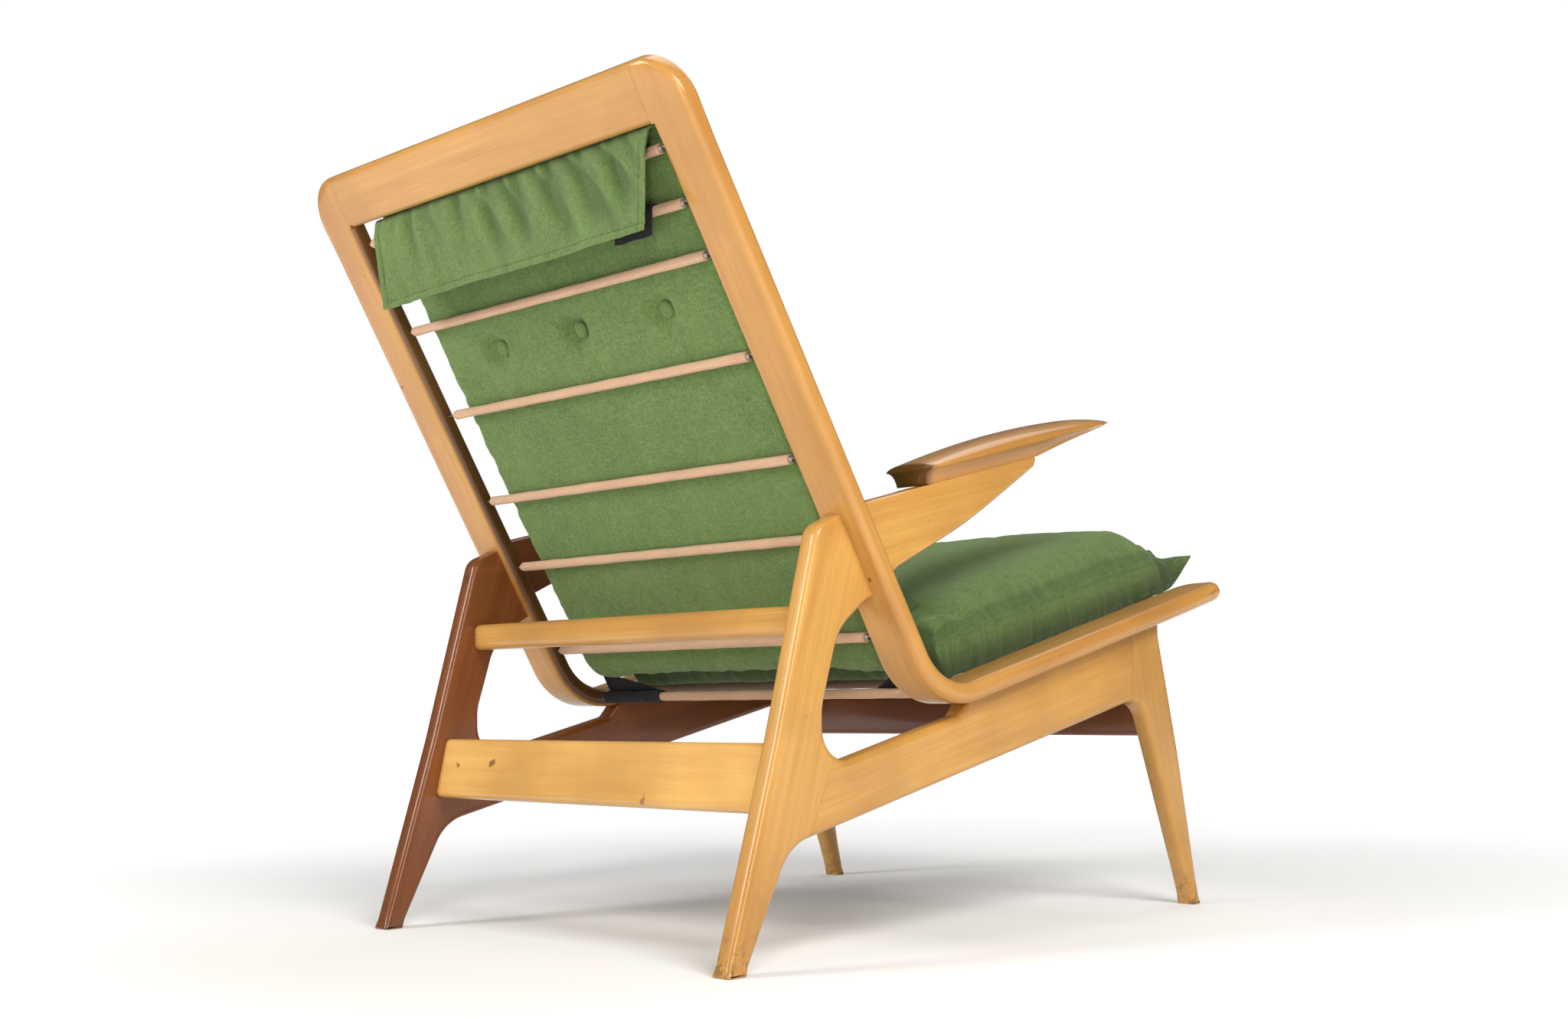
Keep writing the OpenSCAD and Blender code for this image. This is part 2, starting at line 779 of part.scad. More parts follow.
// Half section at a place, from the underside's middle out and up to the crown
function pad_half_section(t) = concat(
    [for (i = [0:pad_steps]) let (s = 90 * i / pad_steps)
        [pad_keel_half(t) + (pad_half(t) - pad_keel_half(t)) * (1 - cos(s)),
            pad_bottom(t) + (pad_keel - pad_bottom(t)) * sin(s)]],
    [for (i = [0:pad_steps - 1]) let (s = 90 * i / pad_steps)
        [pad_half(t) * cos(s),
            pad_rim(t) + (pad_top(t) - pad_rim(t)) * sin(s)]]);
function pad_section(t) = let (half = pad_half_section(t), n = len(half)) concat(
    half, [[0, pad_top(t)]], [for (i = [n - 1:-1:0]) [-half[i].x, half[i].y]]);
module arm_pad(left) {
    rows = [for (t = pad_place_shares)
        [for (p = pad_section(t)) [p.x, -pad_set - pad_len * t, p.y]]];
    n = len(rows[0]);
    m = len(rows);
    wood()
        difference() {
            on_side(left)
                arm_frame()
                    translate([-pad_x, 0, 0])
                        polyhedron(
                            points = [for (row = rows) each row],
                            faces = concat(
                                [[for (i = [0:n - 1]) i]],
                                [[for (i = [n - 1:-1:0]) (m - 1) * n + i]],
                                [for (r = [0:m - 2], i = [0:n - 1]) each [
                                    [r * n + i, (r + 1) * n + i, r * n + (i + 1) % n],
                                    [(r + 1) * n + i, (r + 1) * n + (i + 1) % n, r * n + (i + 1) % n]]]));
            arm_dowel_set(bore_gap);
        }
}
module arm_pad_left() {
    arm_pad(true);
}
module arm_pad_right() {
    arm_pad(false);
}

// Dowels as pieces
module crest_dowels() {
    dowel_wood()
        crest_dowel_set(0);
}
module seat_rail_dowels() {
    dowel_wood()
        seat_rail_dowel_set(0);
}
module stretcher_dowels() {
    dowel_wood()
        stretcher_dowel_set(0);
}
module side_frame_dowels() {
    dowel_wood()
        side_frame_dowel_set(0);
}
module shell_dowels() {
    dowel_wood()
        shell_dowel_set(0);
}
module arm_dowels() {
    dowel_wood()
        arm_dowel_set(0);
}

// Springs
module back_sleeve_1() {
    spring_sleeve(back_spring_places[0]);
}
module back_sleeve_2() {
    spring_sleeve(back_spring_places[1]);
}
module back_sleeve_3() {
    spring_sleeve(back_spring_places[2]);
}
module back_sleeve_4() {
    spring_sleeve(back_spring_places[3]);
}
module back_sleeve_5() {
    spring_sleeve(back_spring_places[4]);
}
module back_sleeve_6() {
    spring_sleeve(back_spring_places[5]);
}
module back_sleeve_7() {
    spring_sleeve(back_spring_places[6]);
}
module back_sleeve_8() {
    spring_sleeve(back_spring_places[7]);
}
module seat_sleeve_1() {
    spring_sleeve(seat_spring_places[0]);
}
module seat_sleeve_2() {
    spring_sleeve(seat_spring_places[1]);
}
module seat_sleeve_3() {
    spring_sleeve(seat_spring_places[2]);
}
module seat_sleeve_4() {
    spring_sleeve(seat_spring_places[3]);
}
module seat_sleeve_5() {
    spring_sleeve(seat_spring_places[4]);
}
module back_spring_coils() {
    for (place = back_spring_places)
        spring_coils(place);
}
module seat_spring_coils() {
    for (place = seat_spring_places)
        spring_coils(place);
}

// Cushions: two quilted faces that meet in a seam at mid thickness

// Width of the rounding at the cushions' edges, on the front or upper face
edge_run = 48;
// Width of the rounding on the sides that rest on the springs
seat_low_run = 16;
back_low_run = 38;
// Share of the thickness that the crown adds in the middle
crown_share = 0.11;
// Rise of the cushion's face at a distance from its edge, as a share
function edge_rise(d, run) = d >= run ? 1 : sqrt(max(0, 1 - pow(1 - d / run, 2)));
function swell(x, y, w, l, run) = edge_rise(w / 2 - abs(x), run) * edge_rise(l / 2 - abs(y), run);
function crown(x, y, w, l) = 1 - crown_share
    + crown_share * (1 - pow(2 * x / w, 2)) * (1 - pow(2 * y / l, 2));
// Sharpness of the ears, and of the drawn-in seams
ear_power = 24;
pull_power = 7;
function edge_pull(u) = sign(u) * pow(abs(u), pull_power);
// Lines of a grid: distances from the edge first, then even steps between the others
edge_lines = edge_run * [0, 0.05, 0.167, 0.4, 0.7];
function grid_lines(half, inner) = concat(
    [for (d = edge_lines) d - half], inner, [for (i = [len(edge_lines) - 1:-1:0]) half - edge_lines[i]]);
// Depth of the tufts around the buttons, which lie at [x, y]
tuft_run = 45;
function tuft_dip(x, y, places) = max([for (p = places)
    let (d = max(abs(x - p.x), abs(y - p.y)) - 2 * button_d / 3)
    tuft * pow(max(0, 1 - max(0, d) / tuft_run), 2)]);

// Two triangles of a four-sided cell, cut from a to c when turned and else from b to d
function cell(a, b, c, d, turned) = turned ? [[a, b, c], [a, c, d]] : [[a, b, d], [d, b, c]];

// A cushion lying flat: seam at z 0, faces high above and low below it
module pillow(xs, ys, w, l, high, low, low_run, ears, places, crowned) {
    n = len(xs);
    m = len(ys);
    // Place of a grid point in plan, with drawn-in sides and ears at y's two ends
    function plan(x, y) =
        let (u = 2 * x / w, v = 2 * y / l, e = pow(abs(u * v), ear_power) * (v < 0 ? ears[0] : ears[1]))
        [x - draw_in * edge_pull(u) * (1 - v * v) + sign(x) * e,
            y - draw_in * edge_pull(v) * (1 - u * u) + sign(y) * e];
    top = [for (y = ys, x = xs) let (p = plan(x, y), s = swell(x, y, w, l, edge_run))
        [p.x, p.y, (high * crown(x, y, w, l) - tuft_dip(x, y, places)) * s]];
    bottom = [for (y = ys, x = xs) let (p = plan(x, y), s = swell(x, y, w, l, low_run))
        [p.x, p.y, -(low - crowned * tuft_dip(x, y, places)) * s]];
    // Rim points belong to the top; the bottom face borrows them
    function rim(r, c) = r == 0 || c == 0 || r == m - 1 || c == n - 1;
    function top_id(r, c) = r * n + c;
    function low_id(r, c) = rim(r, c) ? r * n + c : n * m + r * n + c;
    // Cells near two of the corners are cut the other way, so that none lies flat on the rim
    function turned(r, c) = (2 * r < m - 1) == (2 * c < n - 1);
    polyhedron(
        points = concat(top, bottom),
        faces = concat(
            [for (r = [0:m - 2], c = [0:n - 2]) each cell(
                top_id(r, c), top_id(r + 1, c), top_id(r + 1, c + 1), top_id(r, c + 1), turned(r, c))],
            [for (r = [0:m - 2], c = [0:n - 2]) each cell(
                low_id(r, c), low_id(r, c + 1), low_id(r + 1, c + 1), low_id(r + 1, c), turned(r, c))]));
}
// Share of a cushion's thickness that lies below its seam
low_share = 0.42;
seat_cushion_l = seat_len - seat_front_set - seat_rear;
seat_low = seat_thick * low_share;
seat_high = seat_thick - seat_low;
// Size of the cushions' other ears, as a share of the seat's front ears
small_ear_share = 0.24;
seat_grid_steps = 9;
module seat_cushion() {
    xs = grid_lines(cushion_w / 2, [for (i = [1:seat_grid_steps + 3])
        (cushion_w / 2 - edge_run) * (2 * i / (seat_grid_steps + 4) - 1)]);
    ys = grid_lines(seat_cushion_l / 2, [for (i = [1:seat_grid_steps])
        (seat_cushion_l / 2 - edge_run) * (2 * i / (seat_grid_steps + 1) - 1)]);
    cloth()
        seat_frame()
            translate([cushion_shift, -seat_rear - seat_cushion_l / 2,
                seat_rail_t + rest_gap + seat_low])
                pillow(xs, ys, cushion_w, seat_cushion_l, seat_high, seat_low, seat_low_run,
                    [ear, ear * small_ear_share], [[far, far]], 0);
}
back_cushion_l = back_len - back_drop - back_low;
back_half = back_thick / 2;
button_places = [for (i = [-1:1]) [i * button_pitch, button_z - back_low - back_cushion_l / 2]];
// Distances of grid lines from a button's middle
button_lines = [-2.2, -0.9, 0.9, 2.2];
back_grid_steps = 5;
// Frame of the back cushion, lying flat: y up along the back, z out of its front
module back_cushion_frame() {
    back_frame()
        translate([cushion_shift, -seat_rail_t - rest_gap - back_half, back_low + back_cushion_l / 2])
            rotate([90, 0, 0])
                children();
}
module back_cushion() {
    button_y = button_places[0].y;
    low_end = -back_cushion_l / 2 + edge_run;
    step_y = (button_y + button_lines[0] * button_d - low_end) / back_grid_steps;
    xs = grid_lines(cushion_w / 2, [for (i = [-1:1], k = button_lines)
        i * button_pitch + k * button_d / 2]);
    ys = grid_lines(back_cushion_l / 2, concat(
        [for (i = [0:back_grid_steps - 1]) low_end + step_y * i],
        [for (k = button_lines) button_y + k * button_d / 2],
        [for (i = [0:1]) button_y + (back_cushion_l / 2 - edge_run - button_y) * (i + 1) / 2]));
    cloth()
        back_cushion_frame()
            pillow(xs, ys, cushion_w, back_cushion_l, back_half, back_half, back_low_run,
                [ear * small_ear_share, ear * small_ear_share], button_places, 1);
}
function face_crown(p) = crown(p.x, p.y, cushion_w, back_cushion_l);
button_t = 5;
module button() {
    rotate_extrude($fn = 24)
        polygon(concat([[0, 0]], [for (i = [0:corner_steps])
            let (a = 90 * i / corner_steps)
            [button_d / 2 * cos(a), button_t / 2 * (1 + sin(a))]],
            [[0, button_t]]));
}
module cushion_buttons() {
    cloth()
        back_cushion_frame()
            for (p = button_places, side = [-1, 1])
                translate([p.x, p.y, 0])
                    rotate([side > 0 ? 0 : 180, 0, 0])
                        translate([0, 0, back_half * (side > 0 ? face_crown(p) : 1) - tuft + rest_gap])
                            button();
}

// Region before the front of a back spring's sleeve, where the cushion lies
module before_spring(place) {
    translate(place)
        rotate(-back_lean)
            translate([-far - sleeve_d / 2, -far / 2])
                square(far);
}
// Flap: a fold over the top spring, and the part that hangs behind it
top_spring = back_spring_places[0];
fold_r = sleeve_d / 2 + rest_gap + cloth_t;
module flap_fold() {
    cloth()
        across(cushion_shift - flap_w / 2, cushion_shift + flap_w / 2)
            difference() {
                union() {
                    translate(top_spring + [0, fold_rise])
                        circle(fold_r, $fn = 32);
                    translate(top_spring - [fold_r, 0])
                        square([2 * fold_r, fold_rise]);
                }
                translate(top_spring)
                    circle(fold_r - cloth_t, $fn = 32);
                before_spring(top_spring);
            }
}
flap_hinge = top_spring + [fold_r - cloth_t / 2, -cloth_t / 2 - 2 * rest_gap];
flap_fold_count = 7;
flap_col_steps = 42;
flap_row_steps = 6;
module back_flap() {
    n = flap_col_steps + 1;
    m = flap_row_steps + 1;
    function place(r, c, side) =
        let (t = r / flap_row_steps, u = 2 * c / flap_col_steps - 1)
        [cushion_shift + u * (flap_w / 2 - flap_taper * t),
            flap_hinge.x + side * cloth_t / 2 + fold_depth * t * sin(180 * flap_fold_count * u),
            flap_hinge.y - flap_drop * t];
    rim = concat([for (c = [0:n - 1]) c], [for (r = [1:m - 1]) r * n + n - 1],
        [for (c = [n - 2:-1:0]) (m - 1) * n + c], [for (r = [m - 2:-1:1]) r * n]);
    k = len(rim);
    function front_id(r, c) = r * n + c;
    function rear_id(r, c) = m * n + r * n + c;
    cloth()
        polyhedron(
            points = [for (side = [-1, 1], r = [0:m - 1], c = [0:n - 1]) place(r, c, side)],
            faces = concat(
                [for (r = [0:m - 2], c = [0:n - 2]) each cell(front_id(r, c), front_id(r, c + 1),
                    front_id(r + 1, c + 1), front_id(r + 1, c), false)],
                [for (r = [0:m - 2], c = [0:n - 2]) each cell(rear_id(r, c), rear_id(r + 1, c),
                    rear_id(r + 1, c + 1), rear_id(r, c + 1), false)],
                [for (i = [0:k - 1]) each cell(rim[i], m * n + rim[i], m * n + rim[(i + 1) % k],
                    rim[(i + 1) % k], false)]));
}

// Ties: cloth bands round a spring, with a strip that leaves it
tie_r = sleeve_d / 2 + rest_gap + tie_t;
module tie_band(place, from_x, w, cut) {
    color([0.12, 0.12, 0.12])
        across(from_x, from_x + w)
            difference() {
                union() {
                    translate(place)
                        circle(tie_r, $fn = 32);
                    translate(place)
                        children();
                }
                translate(place)
                    circle(tie_r - tie_t, $fn = 32);
                if (cut)
                    before_spring(place);
            }
}
low_spring = back_spring_places[7];
low_spring_along = (low_spring - [knee_y, knee_h]) * [sin(back_lean), cos(back_lean)];
module lower_tie(from_x, w) {
    tie_band(low_spring, from_x, w, false)
        rotate(-back_lean)
            translate([-tie_r + rest_gap, 0])
                square([tie_t, back_low - ear * small_ear_share - rest_gap - low_spring_along]);
}
tie_end_x = inner_x - sleeve_gap - tie_t;
module lower_ties() {
    lower_tie(tie_end_x - left_tie_w, left_tie_w);
    lower_tie(-tie_end_x, right_tie_w);
}
flap_tie_x = cushion_shift - flap_w / 2 + flap_tie_set;
module flap_tie() {
    tie_band(back_spring_places[1], flap_tie_x - flap_tie_w / 2, flap_tie_w, true)
        translate([tie_r - tie_t - rest_gap, -flap_tie_drop])
            square([tie_t, flap_tie_drop]);
}

side_plank_left();
side_plank_right();
crest_rail();
seat_front_rail();
rear_leg_left();
rear_leg_right();
side_rail_left();
side_rail_right();
front_leg_left();
front_leg_right();
upper_stretcher();
lower_stretcher();
front_cross_rail();
arm_bracket_left();
arm_bracket_right();
arm_pad_left();
arm_pad_right();
crest_dowels();
seat_rail_dowels();
stretcher_dowels();
side_frame_dowels();
shell_dowels();
arm_dowels();
back_sleeve_1();
back_sleeve_2();
back_sleeve_3();
back_sleeve_4();
back_sleeve_5();
back_sleeve_6();
back_sleeve_7();
back_sleeve_8();
seat_sleeve_1();
seat_sleeve_2();
seat_sleeve_3();
seat_sleeve_4();
seat_sleeve_5();
back_spring_coils();
seat_spring_coils();
seat_cushion();
back_cushion();
cushion_buttons();
flap_fold();
back_flap();
lower_ties();
flap_tie();
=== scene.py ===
import math
from math import cos, exp, pi, radians, sin, sqrt, tan

import bmesh
import bpy
import numpy as np
from mathutils import Matrix, Vector


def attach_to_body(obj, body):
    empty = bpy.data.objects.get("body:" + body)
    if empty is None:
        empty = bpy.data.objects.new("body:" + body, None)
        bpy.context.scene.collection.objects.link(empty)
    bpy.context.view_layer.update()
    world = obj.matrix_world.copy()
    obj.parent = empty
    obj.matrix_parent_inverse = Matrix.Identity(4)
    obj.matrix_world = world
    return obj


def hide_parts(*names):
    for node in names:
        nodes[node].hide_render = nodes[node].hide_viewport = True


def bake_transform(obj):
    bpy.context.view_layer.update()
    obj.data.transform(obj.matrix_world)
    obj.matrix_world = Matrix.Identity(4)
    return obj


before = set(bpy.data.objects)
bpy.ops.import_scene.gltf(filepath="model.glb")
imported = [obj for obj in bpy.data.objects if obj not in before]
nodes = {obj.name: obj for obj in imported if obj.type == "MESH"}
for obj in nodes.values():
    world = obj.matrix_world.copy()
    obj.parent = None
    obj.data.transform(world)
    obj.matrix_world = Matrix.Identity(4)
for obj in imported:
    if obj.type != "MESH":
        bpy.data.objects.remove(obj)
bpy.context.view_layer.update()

# Sizes of the part's source, in metres
SHELL_W, PLANK_W, PLANK_T = 0.700, 0.060, 0.023
BACK_LEN, SEAT_LEN = 0.752, 0.546
LEAN, RISE = radians(28.8), radians(14)
BEND_R, KNEE_H, EDGE_R = 0.090, 0.243, 0.007
TIP_OUT_R, TIP_IN_R = 0.020, 0.034
CREST_W, CREST_R = 0.065, 0.054
INNER_X = SHELL_W / 2 - PLANK_W
LEG_OUT, LEG_T = 0.3265, 0.026
LEG_IN = LEG_OUT - LEG_T
ARM_X, BRACKET_T = 0.333, 0.024
SLEEVE_D, SLEEVE_GAP = 0.0115, 0.013
TURN = pi / 2 + RISE - LEAN
BEND_RUN = BEND_R * tan(TURN / 2)
REST = (PLANK_T + SLEEVE_D) / 2 + 0.0003
front_reach = (SEAT_LEN - PLANK_T / 2) * cos(RISE) + PLANK_T / 2 - PLANK_T / 2 * sin(RISE)
rear_reach = (BACK_LEN - EDGE_R) * sin(LEAN) - EDGE_R * cos(LEAN) + EDGE_R
KNEE_Y = (front_reach - rear_reach) / 2


def seat_pt(along, off):
    return np.array([KNEE_Y - along * cos(RISE) + off * sin(RISE),
                     KNEE_H + along * sin(RISE) + off * cos(RISE)])


def back_pt(along, off):
    return np.array([KNEE_Y + along * sin(LEAN) - off * cos(LEAN),
                     KNEE_H + along * cos(LEAN) + off * sin(LEAN)])


BEND_MID = seat_pt(BEND_RUN, BEND_R)


# Outlines in side view, as (y, z)
def arc(mid, r, a0, a1, steps):
    return [np.array(mid) + r * np.array([cos(a0 + (a1 - a0) * i / steps), sin(a0 + (a1 - a0) * i / steps)])
            for i in range(steps + 1)]


def rounded(before, here, after, r, steps):
    before, here, after = map(np.array, (before, here, after))
    if r == 0:
        return [here]
    a, b = before - here, after - here
    a, b = a / np.linalg.norm(a), b / np.linalg.norm(b)
    half = math.acos(float(np.clip(a @ b, -1, 1))) / 2
    m = a + b
    mid = here + m / np.linalg.norm(m) * r / sin(half)
    p, q = here + a * r / tan(half) - mid, here + b * r / tan(half) - mid
    side = 1 if p[0] * q[1] - p[1] * q[0] > 0 else -1
    a0 = math.atan2(p[1], p[0])
    return arc(mid, r, a0, a0 + side * (pi - 2 * half), steps)


def fillet(corners, steps):
    out = []
    for i, (y, z, r) in enumerate(corners):
        b, a = corners[i - 1], corners[(i + 1) % len(corners)]
        out += rounded(b[:2], (y, z), a[:2], r, steps)
    return out


def meet(p, d, q, e):
    p, d, q, e = map(np.array, (p, d, q, e))
    return p + d * ((q[0] - p[0]) * e[1] - (q[1] - p[1]) * e[0]) / (d[0] * e[1] - d[1] * e[0])


def resample(points, step):
    out = []
    n = len(points)
    for i in range(n):
        a, b = np.array(points[i]), np.array(points[(i + 1) % n])
        k = max(1, int(np.linalg.norm(b - a) / step))
        out += [a + (b - a) * j / k for j in range(k)]
    return out


# Mesh helpers
def make(name, verts, faces, grain=None, sharp=40):
    me = bpy.data.meshes.new(name)
    me.from_pydata([tuple(v) for v in verts], [], faces)
    me.validate()
    bm = bmesh.new()
    bm.from_mesh(me)
    bmesh.ops.recalc_face_normals(bm, faces=bm.faces)
    bm.to_mesh(me)
    bm.free()
    ob = bpy.data.objects.new(name, me)
    bpy.context.scene.collection.objects.link(ob)
    finish_mesh(ob, sharp)
    if grain is not None:
        set_grain(ob, grain)
    return ob


def finish_mesh(ob, sharp=40):
    me = ob.data
    me.polygons.foreach_set("use_smooth", [True] * len(me.polygons))
    if sharp < 180:
        me.set_sharp_from_angle(angle=radians(sharp))
    me.update()


def coords(me):
    co = np.zeros(len(me.vertices) * 3)
    me.vertices.foreach_get("co", co)
    return co.reshape(-1, 3)


def put_coords(me, co):
    me.vertices.foreach_set("co", np.asarray(co, dtype=np.float32).ravel())
    me.update()


def set_grain(ob, grain):
    """grain is a function of the points, or an array: metres along, across and through the wood or cloth."""
    me = ob.data
    g = grain(coords(me)) if callable(grain) else grain
    at = me.attributes.get("grain") or me.attributes.new("grain", "FLOAT_VECTOR", "POINT")
    at.data.foreach_set("vector", np.asarray(g, dtype=np.float32).ravel())


def straight_grain(direction, seed=0.0):
    """direction is (y, z) in side view; the boards lie in side view planes."""
    d = np.array([0, direction[0], direction[1]], float)
    d /= np.linalg.norm(d)
    e = np.array([0, -d[2], d[1]])

    def f(co):
        return np.stack([co @ d + seed * 3.7, co @ e + seed * 1.3, co[:, 0] + seed * 0.7], 1)
    return f


def cross_grain(seed=0.0):
    def f(co):
        return np.stack([co[:, 0] + seed * 3.1, co[:, 2] + seed, co[:, 1] + seed * 0.4], 1)
    return f


def paint(ob, mat):
    ob.data.materials.clear()
    ob.data.materials.append(mat)


def attach(ob, mat, body, slot, *replaced):
    paint(ob, mat)
    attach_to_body(ob, body)
    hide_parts(*replaced)


def board(ob, mat, node):
    attach(ob, mat, "chair_frame", "varnished_wood", node)


def grid_faces(rows, n, closed=True, base=0):
    """Quads between rows of n points; closed rows meet themselves."""
    faces = []
    for r in range(rows - 1):
        for i in range(n if closed else n - 1):
            a, b = base + r * n + i, base + r * n + (i + 1) % n
            faces.append([a, b, b + n, a + n])
    return faces


def end_faces(rows, n, base=0):
    return [[base + i for i in range(n)][::-1], [base + (rows - 1) * n + i for i in range(n)]]


# A board cut to a side view outline, with its long edges rounded; radii holds one for each outline point
def slab_data(outline, radii, x0, x1, steps=5):
    P = np.array(outline)
    area = 0.5 * np.sum(P[:, 0] * np.roll(P[:, 1], -1) - np.roll(P[:, 0], -1) * P[:, 1])
    if area < 0:
        P = P[::-1]
        radii = list(radii)[::-1]
    R = np.array(radii)
    n = len(P)
    t = np.roll(P, -1, 0) - P
    t /= np.linalg.norm(t, axis=1, keepdims=True) + 1e-12
    nrm = np.stack([-t[:, 1], t[:, 0]], 1)
    m = nrm + np.roll(nrm, 1, 0)
    m /= np.linalg.norm(m, axis=1, keepdims=True) + 1e-12
    scale = 1 / np.clip(np.sum(m * nrm, 1), 0.5, 1)
    inward = m * scale[:, None]
    verts, faces = [], []
    rings = [(1.0, 0.0, 0.0005)] + [(1 - sin(pi / 2 * k / steps), 1 - cos(pi / 2 * k / steps), 0.0)
                                   for k in range(steps + 1)]
    full = [(a, b, c, 1) for a, b, c in rings] + [(a, b, c, -1) for a, b, c in reversed(rings)]
    for a, b, c, side in full:
        for i in range(n):
            q = P[i] + inward[i] * (R[i] * a + c)
            x = x0 + R[i] * b if side > 0 else x1 - R[i] * b
            verts.append((x, q[0], q[1]))
    return verts, grid_faces(len(full), n) + end_faces(len(full), n)


def cut(ob, co, no):
    """Keeps the side of the plane that no points away from, and closes the cut."""
    bm = bmesh.new()
    bm.from_mesh(ob.data)
    res = bmesh.ops.bisect_plane(bm, geom=bm.verts[:] + bm.edges[:] + bm.faces[:], plane_co=co, plane_no=no,
                                 clear_outer=True, dist=1e-6)
    edges = [e for e in res["geom_cut"] if isinstance(e, bmesh.types.BMEdge)]
    bmesh.ops.holes_fill(bm, edges=edges, sides=0)
    bmesh.ops.recalc_face_normals(bm, faces=bm.faces)
    bm.to_mesh(ob.data)
    bm.free()
    finish_mesh(ob)


def copy_of(ob, name):
    o = ob.copy()
    o.data = ob.data.copy()
    o.name = name
    o.data.name = name
    bpy.context.scene.collection.objects.link(o)
    return o


def mirrored(ob, name, seed=0.0):
    o = copy_of(ob, name)
    co = coords(o.data)
    co[:, 0] *= -1
    put_coords(o.data, co)
    o.data.flip_normals()
    at = o.data.attributes.get("grain")
    if at:
        g = np.zeros(len(o.data.vertices) * 3, np.float32)
        at.data.foreach_get("vector", g)
        g = g.reshape(-1, 3) + np.array([seed * 3.3, seed * 1.7, seed * 0.9])
        at.data.foreach_set("vector", g.astype(np.float32).ravel())
    finish_mesh(o)
    return o


# Lofts a row of closed sections, each with the same number of points
def loft(name, rows, grain=None, sharp=40, closed_ends=True, grain_rows=None):
    n = len(rows[0])
    verts = [p for row in rows for p in row]
    faces = grid_faces(len(rows), n)
    if closed_ends:
        faces += end_faces(len(rows), n)
    ob = make(name, verts, faces, sharp=sharp)
    if grain_rows is not None:
        set_grain(ob, np.array([g for row in grain_rows for g in row]))
    elif grain is not None:
        set_grain(ob, grain)
    return ob


# Materials
BLACK = (0.0, 0.0, 0.0)


class Graph:
    """Short calls that add nodes to a node tree."""

    def __init__(self, tree):
        self.tree = tree

    def feed(self, node, inputs):
        """Each input is linked, where its value is another node's output, or set."""
        for key, value in inputs.items():
            socket = node.inputs[key]
            if hasattr(value, "is_output"):
                self.tree.links.new(value, socket)
            elif socket.type == "RGBA" and len(value) == 3:
                socket.default_value = (*value, 1)
            else:
                socket.default_value = value
        return node

    def node(self, kind, inputs=None, **props):
        n = self.tree.nodes.new("ShaderNode" + kind)
        for key, value in props.items():
            setattr(n, key, value)
        return self.feed(n, inputs or {})

    def calc(self, op, a, b=0.0, c=0.0, clamp=False):
        return self.node("Math", {0: a, 1: b, 2: c}, operation=op, use_clamp=clamp).outputs[0]

    def mul(self, a, b):
        return self.calc("MULTIPLY", a, b)

    def add(self, a, b):
        return self.calc("ADD", a, b)

    def sine(self, a):
        return self.calc("SINE", a)

    def noise(self, vec, scale=1.0, detail=3.0, rough=0.55):
        inputs = {"Vector": vec, "Scale": scale, "Detail": detail, "Roughness": rough}
        return self.node("TexNoise", inputs).outputs["Fac"]

    def split(self, vec):
        return self.node("SeparateXYZ", {0: vec}).outputs

    def stretched(self, vec, scale):
        return self.node("VectorMath", {0: vec, 1: scale}, operation="MULTIPLY").outputs[0]

    def grain(self):
        return self.node("Attribute", attribute_name="grain").outputs["Vector"]

    def place(self):
        return self.node("TexCoord").outputs["Object"]

    def remap(self, value, from_low, from_high, low, high):
        return self.node("MapRange", {0: value, 1: from_low, 2: from_high, 3: low, 4: high}).outputs[0]

    def ramp(self, field, stops):
        r = self.node("ValToRGB", {0: field})
        els = r.color_ramp.elements
        while len(els) > 1:
            els.remove(els[-1])
        for i, (place, colour) in enumerate(stops):
            e = els[0] if i == 0 else els.new(place)
            e.position = place
            e.color = (*colour, 1)
        return r.outputs[0]

    def rise(self, field, low, high, level=1.0):
        """Black where the field is low, and a grey of this level where it is high."""
        return self.ramp(field, [(low, BLACK), (high, (level,) * 3)])

    def mix(self, share, a, b):
        return self.node("Mix", {0: share, 6: a, 7: b}, data_type="RGBA").outputs[2]

    def stain(self, base, field, low, high, level, colour):
        return self.mix(self.rise(field, low, high, level), base, colour)

    def bump(self, height, strength, distance, **under):
        inputs = {"Height": height, "Strength": strength, "Distance": distance}
        return self.node("Bump", {**inputs, **under}).outputs[0]


def new_material(name):
    m = bpy.data.materials.new(name)
    m.use_nodes = True
    m.node_tree.nodes.clear()
    g = Graph(m.node_tree)
    surface = g.node("BsdfPrincipled")
    g.node("OutputMaterial", {0: surface.outputs[0]})
    return m, g, surface


def scaled(colour, k):
    return tuple(c * k for c in colour)


